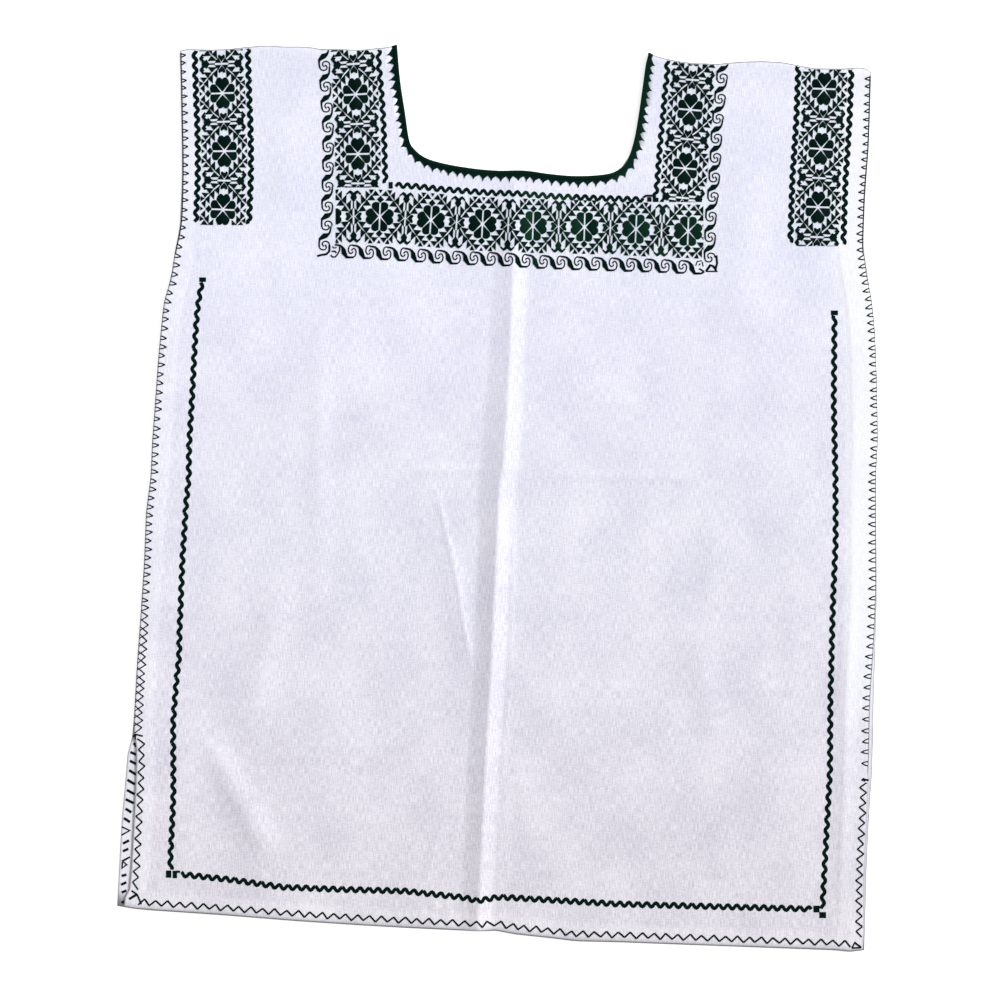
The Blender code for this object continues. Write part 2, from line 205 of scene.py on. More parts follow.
def front_rise(x, y):
    """How far the front's outer face stands above its lowest level."""
    below = np.clip(fold_top(x) - y, 0, None)
    at_fold = FOLD_LIFT * np.exp(-((below / FOLD_LIFT_REACH) ** 2))
    uneven = 0.22 * np.sin(x / 41 + y / 67) * np.sin(y / 53 - x / 90 + 1.3)
    uneven += 0.10 * np.sin(x / 15 + 1.1 * np.sin(y / 43)) * np.sin(y / 38 + 0.6)
    settled = np.clip(below / 22, 0, 1)
    return at_fold + settled * (crease_rise(x, y) + fold_rise(x, y) + edge_rise(x, y) + uneven)


def laid_place(x, y, z):
    """Places of the laid garment, from millimetres to the frame's metres."""
    return np.stack(((x - LAID_CENTRE[0]) * MM, (y - LAID_CENTRE[1]) * MM, z * MM), axis=-1)


def on_cloth(x, y, rise):
    """Points on the outside of the cloth. A y past the shoulder fold goes round it and down the back."""
    x = np.asarray(x, float)
    y = np.asarray(y, float)
    rise = np.asarray(rise, float)
    top = fold_top(x)
    past = y - top
    turn = np.clip(past / NOSE_RADIUS, 0, math.pi)
    nose_y = top + (NOSE_RADIUS + rise) * np.sin(turn)
    nose_z = BACK_OUTER + NOSE_RADIUS + (NOSE_RADIUS + rise) * np.cos(turn)
    back_y = top - (past - NOSE_RUN)
    front_z = FRONT_OUTER + front_rise(x, np.minimum(y, top)) + rise
    on_front = past <= 0
    on_back = past >= NOSE_RUN
    flat_y = np.where(on_front, y, np.where(on_back, back_y, nose_y))
    flat_z = np.where(on_front, front_z, np.where(on_back, BACK_OUTER - rise, nose_z))
    return laid_place(x, flat_y, flat_z)


def to_back(x, y):
    """The y that reaches, round the fold, the place on the back straight under a place on the front."""
    top = fold_top(x)
    return top + NOSE_RUN + (top - y)


def joined_edge(upper, lower):
    """An edge of the back: the front's, down to where the back's own begins."""
    start = max(row[1] for row in lower)
    return tuple(row for row in upper if row[1] > start + 1.0) + tuple(lower)


BACK_EDGES = (joined_edge(FRONT_LEFT, BACK_LEFT), joined_edge(FRONT_RIGHT, BACK_RIGHT))


def panel_plan(edges, hem_drop, parts, rows):
    """x and y over one panel, from row part 0 at the shoulder fold to 1 at the hem."""
    left_parts, right_parts = parts
    count = len(left_parts)
    t = np.repeat(np.array(rows)[:, None], count + len(right_parts), axis=1)
    y = 361.0 - 722.0 * t
    for _ in range(6):
        left, middle_left = edge_x(edges[0], y[:, :count]), along(CREASE, y[:, :count], 0, 1)
        right, middle_right = edge_x(edges[1], y[:, count:]), along(CREASE, y[:, count:], 0, 1)
        left_x = left + (middle_left - left) * left_parts
        right_x = middle_right + (right - middle_right) * right_parts
        x = np.concatenate((left_x, right_x), axis=1)
        top = fold_top(x)
        y = top + (line_y(HEM_LINE, x) - hem_drop - top) * t
    return x, y


def rounded_line(points, steps):
    """Rounded line through the points of a table, with the given number of steps between two of them."""
    table = np.array(points, float)
    ends = np.vstack((2 * table[0] - table[1], table, 2 * table[-1] - table[-2]))
    found = []
    for k in range(1, len(ends) - 2):
        a, b, c, d = ends[k - 1 : k + 3]
        for u in np.arange(steps) / steps:
            square, cube = 2 * a - 5 * b + 4 * c - d, 3 * b - a - 3 * c + d
            found.append(0.5 * (2 * b + (c - a) * u + square * u**2 + cube * u**3))
    return np.array(found + [table[-1]])


def run_lengths(line):
    """How far along a line each of its points is."""
    return np.concatenate(([0.0], np.cumsum(np.linalg.norm(np.diff(line, axis=0), axis=1))))


def even_line(points, spacing):
    """The same line with its points an even distance apart."""
    points = np.asarray(points, float)
    runs = run_lengths(points)
    count = max(2, int(round(runs[-1] / spacing)) + 1)
    wanted = np.linspace(0.0, runs[-1], count)
    return np.stack((np.interp(wanted, runs, points[:, 0]), np.interp(wanted, runs, points[:, 1])), axis=1)


def square_to(line):
    """Unit directions a quarter turn to the right of the way a line runs."""
    run = np.gradient(line, axis=0)
    run /= np.linalg.norm(run, axis=1)[:, None]
    return np.stack((run[:, 1], -run[:, 0]), axis=1)


neck_front = even_line(rounded_line(NECK_LINE, 6), 0.8)
neck_front = neck_front[neck_front[:, 1] < fold_top(neck_front[:, 0])]


def neck_turn(corner):
    """The neck edge round the shoulder fold, from one of its front ends."""
    top = fold_top(corner[0])
    return np.array([(corner[0], top + k * NOSE_RUN / 7) for k in range(8)])


neck_back = np.stack((neck_front[::-1, 0], to_back(neck_front[::-1, 0], neck_front[::-1, 1])), axis=1)
neck_loop = np.vstack((neck_front, neck_turn(neck_front[-1]), neck_back, neck_turn(neck_front[0])[::-1]))
neck_cut = neck_loop + square_to(neck_loop) * NECK_TRIM


def in_neck(x, y):
    """Whether places of the flat length fall in the cut neck opening."""
    inside = np.zeros(len(x), bool)
    after = np.roll(neck_cut, -1, axis=0)
    for (ax, ay), (bx, by) in zip(neck_cut, after):
        if ay == by:
            continue
        crossed = (ay > y) != (by > y)
        inside ^= crossed & (x < (bx - ax) * (y - ay) / (by - ay) + ax)
    return inside


def cotton_length():
    """The whole length as a plane of fine squares, trimmed to its outline and neck, then folded and laid."""
    edge_parts = np.array((0, 0.0015, 0.0032, 0.006, 0.011, 0.018, 0.026, 0.034, 0.042, 0.047, 0.051, 0.056))
    left_parts = np.concatenate((edge_parts, np.linspace(0.064, 0.83, 40), np.linspace(0.83, 1, 32)[1:]))
    seam_parts = np.array((0.064, 0.068, 0.072, 0.077, 0.083))
    plain_parts = np.concatenate((np.linspace(0, 0.09, 16)[1:], np.linspace(0.10, 0.91, 46)))
    right_parts = np.concatenate((plain_parts, 1 - seam_parts[::-1], 1 - edge_parts[::-1]))
    parts = (left_parts, right_parts)
    hem_rows = np.array((0.020, 0.0175, 0.0145, 0.011, 0.0075, 0.005, 0.003, 0.0016, 0.0007, 0.0))
    front_rows = np.concatenate((np.linspace(0, 0.978, 212), 1.0 - hem_rows))
    back_rows = np.concatenate((np.linspace(0, 0.70, 15), np.linspace(0.70, 1.0, 16)[1:]))
    front_x, front_y = panel_plan((FRONT_LEFT, FRONT_RIGHT), 0.0, parts, front_rows)
    back_x, back_y = panel_plan(BACK_EDGES, BACK_HEM_DROP, parts, back_rows)
    turn_y = fold_top(front_x[0]) + np.linspace(0, NOSE_RUN, 9)[1:-1, None]
    turn_x = np.repeat(front_x[:1], len(turn_y), axis=0)
    x = np.concatenate((front_x[::-1], turn_x, back_x))
    y = np.concatenate((front_y[::-1], turn_y, to_back(back_x, back_y)))
    rows, columns = x.shape
    bpy.ops.mesh.primitive_grid_add(x_subdivisions=columns - 1, y_subdivisions=rows - 1, size=1.0)
    cloth = bpy.context.object
    flat = np.stack((x, y, np.zeros_like(x)), axis=-1).reshape(-1, 3)
    cloth.data.vertices.foreach_set("co", flat.ravel())
    bpy.ops.object.mode_set(mode="EDIT")
    bpy.ops.mesh.select_all(action="DESELECT")
    bpy.ops.object.mode_set(mode="OBJECT")
    middles = np.array([face.center[:] for face in cloth.data.polygons])
    cloth.data.polygons.foreach_set("select", in_neck(middles[:, 0], middles[:, 1]))
    bpy.ops.object.mode_set(mode="EDIT")
    bpy.ops.mesh.select_mode(type="FACE")
    bpy.ops.mesh.delete(type="FACE")
    bpy.ops.object.mode_set(mode="OBJECT")
    return cloth


def trim_to_neck(cloth):
    """Moves the ragged edge of the cut onto an even line that the worked edge covers."""
    count = len(cloth.data.vertices)
    flat = np.empty(count * 3)
    cloth.data.vertices.foreach_get("co", flat)
    flat = flat.reshape(-1, 3)
    sides = np.zeros(len(cloth.data.edges), int)
    edge_of_loop = np.empty(len(cloth.data.loops), int)
    cloth.data.loops.foreach_get("edge_index", edge_of_loop)
    np.add.at(sides, edge_of_loop, 1)
    ends = np.empty(len(cloth.data.edges) * 2, int)
    cloth.data.edges.foreach_get("vertices", ends)
    rim = np.unique(ends.reshape(-1, 2)[sides == 1])
    near = (flat[rim, 0] > -110) & (flat[rim, 0] < 150) & (np.abs(flat[rim, 1] - 362) < 130)
    for index in rim[near]:
        gap = np.linalg.norm(neck_cut - flat[index, :2], axis=1)
        flat[index, :2] = neck_cut[gap.argmin()]
    return flat


def on_front(x, y):
    """y on the front for places on either side of the shoulder fold."""
    return np.minimum(y, 2 * fold_top(x) + NOSE_RUN - y)


# How much whiter the allowances make the cloth: on the left, at the hem, and on the right by level.
LEFT_WHITER = 0.3
HEM_WHITER = 0.2
RIGHT_WHITER_LEVELS = (-200, -150, 0, 60)
RIGHT_WHITER = (0.2, 0.7, 0.95, 0.8)
WHITER_FADE = 2.5
RIGHT_FADE_PAST = 6.0
RIGHT_FADE = 8.0


def doubled_cloth(x, y):
    """Above 0 where the turned-in allowances back the cloth, which makes it whiter there."""
    y = on_front(x, y)
    left_in, right_in, hem_in = depths_inside(x, y)
    left = LEFT_WHITER * np.clip((ALLOWANCES[0] - left_in) / WHITER_FADE, 0, 1)
    right = np.interp(y, RIGHT_WHITER_LEVELS, RIGHT_WHITER)
    right = right * np.clip((ALLOWANCES[1] + RIGHT_FADE_PAST - right_in) / RIGHT_FADE, 0, 1)
    hem = HEM_WHITER * np.clip((ALLOWANCES[2] - hem_in) / WHITER_FADE, 0, 1)
    return np.maximum(np.maximum(left, right), hem)


def painted_edge_shade(x, y):
    """1 on the very edges and on the turn of the shoulder fold, with a soft band above the hem, where the
    cloth is painted grey as shade.
    """
    top = fold_top(x)
    on_back = y > top + NOSE_RUN
    turn = np.clip((y - top) / NOSE_RADIUS, 0, math.pi)
    fold = np.clip(turn / 0.35, 0, 1) * np.clip((math.pi - turn - 0.3) / 0.4, 0, 1)
    level = on_front(x, y)
    left = np.where(on_back, edge_x(BACK_EDGES[0], level), edge_x(FRONT_LEFT, level))
    right = np.where(on_back, edge_x(BACK_EDGES[1], level), edge_x(FRONT_RIGHT, level))
    side = np.clip(1 - np.minimum(x - left, right - x) / 1.25, 0, 1)
    hem_in = level - line_y(HEM_LINE, x)
    hem = np.maximum(np.clip(1 - hem_in, 0, 1) * 0.8, np.clip(1 - hem_in / 4.5, 0, 1) * 0.35)
    return np.maximum(fold, np.maximum(side, hem))


# Where the cloth between the stitches is tinted, as (middle at y 280, half width, lowest y, lean).
TINTED_BANDS = (
    (-221.0, 22.0, 219.0, -0.03), (260.0, 22.0, 203.0, 0.06), (-114.5, 24.0, 206.0, -0.03),
    (153.0, 24.0, 196.0, 0.06),
)


def beside_thread(x, y):
    """1 on the cloth that shows between the stitches of the bands, where their dye has tinted it."""
    level = on_front(x, y)
    tinted = np.zeros_like(x)
    for middle, half, end, lean in TINTED_BANDS:
        off = np.abs(x - middle - (level - 280.0) * lean)
        tinted = np.maximum(tinted, np.clip((half - off) / 3.0, 0, 1) * np.clip((level - end) / 3.0, 0, 1))
    bar_middle = 221.5 - 0.046 * (x - 17.0)
    bar = np.clip((24.0 - np.abs(level - bar_middle)) / 3.0, 0, 1)
    return np.maximum(tinted, bar * np.clip((150.0 - np.abs(x - 18.0)) / 4.0, 0, 1))


cloth = cotton_length()
cloth.name = "cotton_body"
cloth.data.name = "cotton_body"
laid = trim_to_neck(cloth)
cloth.data.vertices.foreach_set("co", on_cloth(laid[:, 0], laid[:, 1], np.zeros(len(laid))).ravel())
for measure in (doubled_cloth, painted_edge_shade, beside_thread):
    layer = cloth.data.attributes.new(measure.__name__, "FLOAT", "POINT")
    layer.data.foreach_set("value", measure(laid[:, 0], laid[:, 1]))
cloth.data.update()
wall = cloth.modifiers.new("wall", "SOLIDIFY")
wall.thickness = CLOTH_THICK * MM
wall.offset = -1.0
wall.use_even_offset = False
bpy.ops.object.modifier_apply(modifier="wall")
bpy.ops.object.shade_smooth()


def new_node(tree, kind, place, inputs=(), **settings):
    """A node with its settings, and with its inputs linked to sockets or set to values."""
    node = tree.nodes.new(kind)
    node.location = place
    for name, value in settings.items():
        setattr(node, name, value)
    for name, value in dict(inputs).items():
        if isinstance(value, bpy.types.NodeSocket):
            tree.links.new(value, node.inputs[name])
        else:
            node.inputs[name].default_value = value
    return node


def math_node(tree, operation, place, first, second=None):
    inputs = {0: first} if second is None else {0: first, 1: second}
    return new_node(tree, "ShaderNodeMath", place, inputs, operation=operation).outputs[0]


def weighed(tree, place, *parts):
    """The sum of two values, each times its share."""
    places = ((place[0] - 180, place[1] - 150 * k) for k in (0, 1))
    products = [math_node(tree, "MULTIPLY", at, *part) for at, part in zip(places, parts)]
    return math_node(tree, "ADD", place, *products)


def mixed(tree, place, factor, first, second, **settings):
    """A mix of two colours, each a socket or red, green and blue."""
    first, second = [c if isinstance(c, bpy.types.NodeSocket) else (*c, 1.0) for c in (first, second)]
    inputs = {"Factor": factor, "A": first, "B": second}
    return new_node(tree, "ShaderNodeMix", place, inputs, data_type="RGBA", **settings).outputs["Result"]


def carried(tree, place, value, start, end, low=0.0, high=1.0):
    """A value carried from one range to another."""
    inputs = {"Value": value, "From Min": start, "From Max": end, "To Min": low, "To Max": high}
    return new_node(tree, "ShaderNodeMapRange", place, inputs).outputs["Result"]


def measured(tree, place, name, share=None):
    """What an attribute of the mesh says, or a share of it."""
    found = new_node(tree, "ShaderNodeAttribute", place, attribute_name=name).outputs["Fac"]
    return found if share is None else math_node(tree, "MULTIPLY", (place[0] + 200, place[1]), found, share)


def new_material(name, inputs):
    """A material, its node tree and its shader with the given inputs."""
    material = bpy.data.materials.new(name)
    material.use_nodes = True
    shader = material.node_tree.nodes["Principled BSDF"]
    for key, value in inputs.items():
        shader.inputs[key].default_value = value
    return material, material.node_tree, shader


def new_group(name, size_name, size):
    """A node group whose one size goes in, and whose height and shade come out."""
    group = bpy.data.node_groups.new(name, "ShaderNodeTree")
    group.interface.new_socket(size_name, in_out="INPUT", socket_type="NodeSocketFloat").default_value = size
    for socket in ("Height", "Shade"):
        group.interface.new_socket(socket, in_out="OUTPUT", socket_type="NodeSocketFloat")
    return group, new_node(group, "NodeGroupInput", (-900, 0)).outputs[size_name]


def finish_surface(tree, shader, colour, surface, rough, strength, depth):
    """Leads a colour to the shader, with the surface's shade as roughness and its height as bump."""
    relief = {"Strength": strength, "Distance": depth, "Height": surface.outputs["Height"]}
    normal = new_node(tree, "ShaderNodeBump", (-200, -350), relief).outputs["Normal"]
    roughness = carried(tree, (-200, -100), surface.outputs["Shade"], 0.0, 1.0, *rough)
    for name, socket in (("Base Color", colour), ("Roughness", roughness), ("Normal", normal)):
        tree.links.new(socket, shader.inputs[name])


def stretched_noise(tree, vector, scale, place, detail=2.0):
    """Noise whose grains are longer one way than the other, from a scale for each axis."""
    mapping = new_node(tree, "ShaderNodeMapping", place, {"Scale": scale, "Vector": vector})
    inputs = {"Scale": 1.0, "Detail": detail, "Vector": mapping.outputs["Vector"]}
    return new_node(tree, "ShaderNodeTexNoise", (place[0] + 200, place[1]), inputs).outputs["Fac"]


COTTON_SPACING = 0.0005


def plain_weave_group():
    """Over-and-under of single cotton threads with their thick and thin places, as a height and a shade."""
    group, spacing = new_group("plain_weave", "Thread Spacing", COTTON_SPACING)
    place = new_node(group, "ShaderNodeTexCoord", (-900, -300)).outputs["Object"]
    axes = new_node(group, "ShaderNodeSeparateXYZ", (-700, 0), {0: place})
    waves = []
    for axis, level in (("X", 200), ("Y", 0)):
        turns = math_node(group, "DIVIDE", (-500, level), axes.outputs[axis], spacing)
        angle = math_node(group, "MULTIPLY", (-320, level), turns, math.pi)
        waves.append(math_node(group, "SINE", (-140, level), angle))
    crossing = math_node(group, "MULTIPLY", (40, 100), waves[0], waves[1])
    upright = stretched_noise(group, place, (1900.0, 130.0, 1.0), (-700, -300), 3.0)
    level_run = stretched_noise(group, place, (230.0, 1100.0, 1.0), (-700, -600), 3.0)
    cloud = stretched_noise(group, place, (22.0, 17.0, 1.0), (-700, -900), 3.0)
    threads = weighed(group, (-200, -400), (upright, 0.66), (level_run, 0.34))
    height = weighed(group, (400, 100), (crossing, 0.5), (threads, 1.6))
    shade = weighed(group, (400, -300), (threads, 0.80), (cloud, 0.20))
    new_node(group, "NodeGroupOutput", (700, 0), {"Height": height, "Shade": shade})
    return group


# Dark and light of the cotton's threads: high on the garment, low on it, where it is painted darker and
# warmer as shade, and where it is doubled.
COTTON_TINTS = (
    ((0.660, 0.670, 0.830), (0.895, 0.900, 0.990)), ((0.550, 0.525, 0.595), (0.825, 0.795, 0.850)),
    ((0.890, 0.900, 0.960), (0.985, 0.990, 1.000)),
)
DYED_TINT = (0.95, 0.99, 0.96)
# Grey of the painted shade along the cloth's edges, fold and hem.
PAINTED_EDGE_SHADE_TINT = (0.20, 0.19, 0.22)
# Heights, in metres, between which the cloth is painted from its light top colour to its darker, warmer lower
# one, as shade.
PAINTED_SHADE_START = 0.20
PAINTED_SHADE_FULL = -0.34


def cotton_material():
    looks = {"Sheen Weight": 0.08, "Sheen Roughness": 0.4, "Specular IOR Level": 0.2}
    material, tree, shader = new_material("white_cotton", looks)
    size = {"Thread Spacing": COTTON_SPACING}
    weave = new_node(tree, "ShaderNodeGroup", (-900, 0), size, node_tree=plain_weave_group())
    shade = carried(tree, (-900, 250), weave.outputs["Shade"], 0.40, 0.60)
    high, low, doubled = [
        mixed(tree, (-650, 500 - 250 * k), shade, dark, light) for k, (dark, light) in enumerate(COTTON_TINTS)
    ]
    place = new_node(tree, "ShaderNodeTexCoord", (-1300, -300)).outputs["Object"]
    axes = new_node(tree, "ShaderNodeSeparateXYZ", (-1100, -300), {0: place})
    # Painted shade: from the shoulders down to the hem the cloth's colour turns darker and warmer by height.
    down = carried(tree, (-900, -300), axes.outputs["Y"], PAINTED_SHADE_START, PAINTED_SHADE_FULL)
    single = mixed(tree, (-450, 350), down, high, low)
    backed = mixed(tree, (-250, 300), measured(tree, (-650, -150), "doubled_cloth", 0.85), single, doubled)
    dyed = measured(tree, (-250, -650), "beside_thread")
    stained = mixed(tree, (-150, 300), dyed, backed, DYED_TINT, blend_type="MULTIPLY")
    # Painted shade: the cloth goes grey along its edges, the turn of the fold and the hem.
    colour = mixed(tree, (-50, 250), measured(tree, (-450, -400), "painted_edge_shade", 0.90), stained, PAINTED_EDGE_SHADE_TINT)
    finish_surface(tree, shader, colour, weave, (0.82, 0.96), 0.55, 0.00012)
    return material


cotton = cotton_material()
cloth.data.materials.clear()
cloth.data.materials.append(cotton)
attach(cloth, "root")
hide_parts("body")

# The bands are close counted stitching in dark green mercerised thread. Each little shape of the pattern
# lies a thread's thickness above the cloth, its threads running the length of the band.
THREAD_LAY = 0.34
THREAD_SINK = 0.25


def new_work():
    """An empty piece: points as (x, y, rise), their thread lay as (across, along, tone), and faces; the tone
    carries dye differences and painted light.
    """
    return {"points": [], "lay": [], "faces": []}


def grown(outline, by):
    """The outline moved outwards all round, its sharp corners kept but not drawn out too far."""
    outline = np.asarray(outline, float)
    if area_of(outline) < 0:
        outline = outline[::-1]
    before = outline - np.roll(outline, 1, axis=0)
    after = np.roll(outline, -1, axis=0) - outline
    before /= np.linalg.norm(before, axis=1)[:, None]
    after /= np.linalg.norm(after, axis=1)[:, None]
    out_before = np.stack((before[:, 1], -before[:, 0]), axis=1)
    out_after = np.stack((after[:, 1], -after[:, 0]), axis=1)
    middle = out_before + out_after
    length = np.linalg.norm(middle, axis=1)
    middle /= np.maximum(length, 0.2)[:, None]
    return outline + middle * (by * np.minimum(2.2, 2 / np.maximum(length, 0.2)))[:, None]


def area_of(outline):
    x = outline[:, 0]
    y = outline[:, 1]
    return 0.5 * float(np.sum(x * np.roll(y, -1) - np.roll(x, -1) * y))


def clipped(outline, normal, limit):
    """The part of an outline where its distance along a direction stays at or under a limit."""
    reach = outline @ np.array(normal, float) - limit
    if (reach <= 0).all():
        return outline
    kept = []
    for k in range(len(outline)):
        n = (k + 1) % len(outline)
        if reach[k] <= 0:
            kept.append(outline[k])
        if (reach[k] < 0) != (reach[n] < 0) and reach[k] != reach[n]:
            part = reach[k] / (reach[k] - reach[n])
            kept.append(outline[k] + (outline[n] - outline[k]) * part)
    return np.array(kept) if len(kept) > 2 else np.zeros((0, 2))


def add_patch(work, outline, run=(0.0, 1.0), dye=0.0, lay=THREAD_LAY):
    """One worked shape, its sides going down into the cloth and its top edge softened."""
    outline = np.asarray(outline, float)
    if len(outline) < 3 or abs(area_of(outline)) < 0.12:
        return
    top = float(fold_top(outline[:, 0].mean()))
    if outline[:, 1].min() < top + NOSE_RUN - 0.05 and outline[:, 1].max() > top + 0.05:
        stations = [-1e4] + [top + NOSE_RUN * k / 5 for k in range(6)] + [1e4]
        for low, high in zip(stations[:-1], stations[1:]):
            piece = clipped(outline, (0, 1), high)
            piece = clipped(piece, (0, -1), -low) if len(piece) else piece
            add_patch_whole(work, piece, run, dye, lay, 0.05)
        return
    add_patch_whole(work, outline, run, dye, lay)


def add_patch_whole(work, outline, run, dye, lay, round_off=0.2):
    """A worked shape that doesn't cross the fold's turn, or one strip of a shape that does."""
    if len(outline) < 3 or abs(area_of(outline)) < 0.08:
        return
    if area_of(outline) < 0:
        outline = outline[::-1]
    middle = outline.mean(axis=0)
    spread = float(np.mean(np.linalg.norm(outline - middle, axis=1)))
    inner = middle + (outline - middle) * max(0.6, 1 - round_off / max(spread, 0.3))
    start = len(work["points"])
    count = len(outline)
    for ring, rise in ((outline, -THREAD_SINK), (outline, lay * 0.55), (inner, lay)):
        for x, y in ring:
            work["points"].append((x, y, rise))
            work["lay"].append((x * run[1] - y * run[0], x * run[0] + y * run[1], dye))
    add_tube(work, start, count, 3, False)
    work["faces"].append(tuple(range(start + 2 * count, start + 3 * count)))
    work["faces"].append(tuple(range(start + count - 1, start - 1, -1)))


def add_thread(work, points, width, dye=0.0, lay=THREAD_LAY):
    """A thread lying along a line, rounded on top, with both ends closed."""
    line = np.asarray(points, float)
    side = square_to(line)
    for k in range(1, len(line) - 1):
        before = line[k] - line[k - 1]
        after = line[k + 1] - line[k]
        turn = np.dot(before, after) / (np.linalg.norm(before) * np.linalg.norm(after) + 1e-9)
        side[k] *= min(1.6, 1 / max(0.35, math.sqrt(max(0.0, (1 + turn) / 2))))
    half = width / 2
    section = ((-1.0, -THREAD_SINK), (-0.85, lay * 0.6), (0.0, lay), (0.85, lay * 0.6), (1.0, -THREAD_SINK))
    run = run_lengths(line)
    start = len(work["points"])
    for k in range(len(line)):
        for across, rise in section:
            work["points"].append((*(line[k] + side[k] * half * across), rise))
            work["lay"].append((across * half, run[k], dye))
    size = len(section)
    add_tube(work, start, size, len(line), False)
    last = start + (len(line) - 1) * size
    work["faces"].append(tuple(range(start + size - 1, start - 1, -1)))
    work["faces"].append(tuple(range(last, last + size)))


def add_tube(work, start, size, count, closed):
    """Faces between sections of the same size that follow one another."""
    for k in range(count if closed else count - 1):
        here = start + k * size
        after = start + (k + 1) % count * size
        for j in range(size):
            n = (j + 1) % size
            work["faces"].append((here + j, here + n, after + n, after + j))


def new_object(name, data):
    made = bpy.data.objects.new(name, data)
    bpy.context.scene.collection.objects.link(made)
    return made


def sewn(name, work, material, surface=on_cloth, wraps_fold=False):
    """Makes the gathered stitching one mesh on the cloth. On the shoulder fold itself it goes inside."""
    points = np.array(work["points"], float)
    past = points[:, 1] - fold_top(points[:, 0])
    if not wraps_fold:
        points[(past > 0.2) & (past < NOSE_RUN - 0.2), 2] = -0.55
    mesh = bpy.data.meshes.new(name)
    mesh.from_pydata(surface(points[:, 0], points[:, 1], points[:, 2]).tolist(), [], work["faces"])
    lay = np.array(work["lay"], float)
    corner = np.empty(len(mesh.loops), int)
    mesh.loops.foreach_get("vertex_index", corner)
    run_map = mesh.uv_layers.new(name="thread_run")
    run_map.data.foreach_set("uv", lay[corner, :2].ravel())
    # The thread's tone on the mesh: random dye differences, with painted highlight on the bar and painted
    # shade across the neck binding.
    dye = mesh.attributes.new("dye_and_painted_light", "FLOAT", "POINT")
    dye.data.foreach_set("value", lay[:, 2])
    mesh.materials.append(material)
    piece = new_object(name, mesh)
    bpy.ops.object.select_all(action="DESELECT")
    bpy.context.view_layer.objects.active = piece
    piece.select_set(True)
    bpy.ops.object.mode_set(mode="EDIT")
    bpy.ops.mesh.select_all(action="SELECT")
    bpy.ops.mesh.normals_make_consistent(inside=False)
    bpy.ops.object.mode_set(mode="OBJECT")
    bpy.ops.object.shade_smooth_by_angle(angle=math.radians(38))
    piece.select_set(False)
    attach(piece, "root")
    return piece


LAID_THREAD = 0.42


def laid_thread_group():
    """Threads side by side along their run, as a height and a shade that differs between them."""
    group, width = new_group("laid_thread", "Thread Width", LAID_THREAD)
    run = new_node(group, "ShaderNodeUVMap", (-900, -250), uv_map="thread_run").outputs["UV"]
    axes = new_node(group, "ShaderNodeSeparateXYZ", (-700, -100), {0: run})
    turns = math_node(group, "DIVIDE", (-500, 100), axes.outputs["X"], width)
    angle = math_node(group, "MULTIPLY", (-320, 100), turns, math.pi)
    ridge = math_node(group, "ABSOLUTE", (0, 100), math_node(group, "SINE", (-150, 100), angle))
    twist_run = weighed(group, (-320, -100), (axes.outputs["Y"], 9.0), (axes.outputs["X"], 7.0))
    twist = math_node(group, "SINE", (-150, -100), twist_run)
    height = math_node(group, "ADD", (200, 100), ridge, math_node(group, "MULTIPLY", (0, -100), twist, 0.12))
    uneven = stretched_noise(group, run, (2.2, 0.35, 1.0), (-500, -500))
    ridge_shade = math_node(group, "MULTIPLY", (200, -200), ridge, 0.35)
    shade = math_node(group, "ADD", (400, -200), ridge_shade, uneven)
    new_node(group, "NodeGroupOutput", (700, 0), {"Height": height, "Shade": shade})
    return group


# Dark and light of the thread: of its common tone, and of the lighter, greener tone that the skeins' random
# differences and the painted highlight and shade mix in.
THREAD_TINTS = (
    ((0.0001, 0.0050, 0.0040), (0.0006, 0.0130, 0.0100)),
    ((0.0010, 0.0240, 0.0120), (0.0090, 0.0560, 0.0250)),
)


def thread_material():
    material, tree, shader = new_material("green_thread", {"Specular IOR Level": 0.02})
    size = {"Thread Width": LAID_THREAD}
    lay = new_node(tree, "ShaderNodeGroup", (-900, 0), size, node_tree=laid_thread_group())
    depth = carried(tree, (-650, 100), lay.outputs["Shade"], 0.35, 1.05)
    deep, bright = [
        mixed(tree, (-420, 260 - 260 * k), depth, dark, light) for k, (dark, light) in enumerate(THREAD_TINTS)
    ]
    # The attribute mixes in the lighter tone: the skeins' random differences, painted highlight on the bar
    # and painted shade across the neck binding.
    colour = mixed(tree, (-200, 150), measured(tree, (-650, -250), "dye_and_painted_light"), deep, bright)
    finish_surface(tree, shader, colour, lay, (0.62, 0.46), 0.5, 0.00018)
    return material


thread = thread_material()

# Chart of the repeat, from a flower to a star and to the next flower. Places are (across, along) from the
# flower's or the star's middle, for one quarter, and the other three are its mirrors.
HALF_REPEAT = 23.65
HEART = (
    (0.0, 1.35), (5.45, 7.4), (5.5, 9.6), (5.0, 9.8), (4.9, 11.0), (4.3, 11.2), (4.1, 12.1), (3.3, 12.2),
    (3.1, 12.7), (2.1, 12.7), (1.2, 12.4), (0.6, 11.9), (0.0, 11.2),
)
PETAL = ((1.1, 0.75), (5.2, 6.6), (6.0, 7.4), (8.4, 7.4), (9.5, 6.1), (10.0, 4.6), (10.0, 3.0), (9.3, 0.75))
LEAVES = (
    ((4.4, 20.7), (10.5, 20.9), (8.1, 17.5)), ((9.0, 16.6), (14.3, 16.9), (11.2, 13.2)),
    ((12.4, 12.6), (16.9, 12.7), (14.9, 9.8)), ((15.8, 8.5), (17.3, 9.3), (17.5, 7.1)),
    ((3.7, 18.9), (7.1, 15.8), (4.1, 13.0)), ((7.7, 15.2), (10.9, 12.0), (7.8, 8.9)),
    ((11.4, 11.0), (14.3, 8.0), (11.4, 5.2)), ((14.4, 7.1), (17.2, 4.6), (14.6, 1.7)),
    ((16.2, 8.1), (18.0, 9.6), (18.0, 6.6)),
)
LEAF_GROWTH = 0.42
LARGE_SHAPE = 30.0
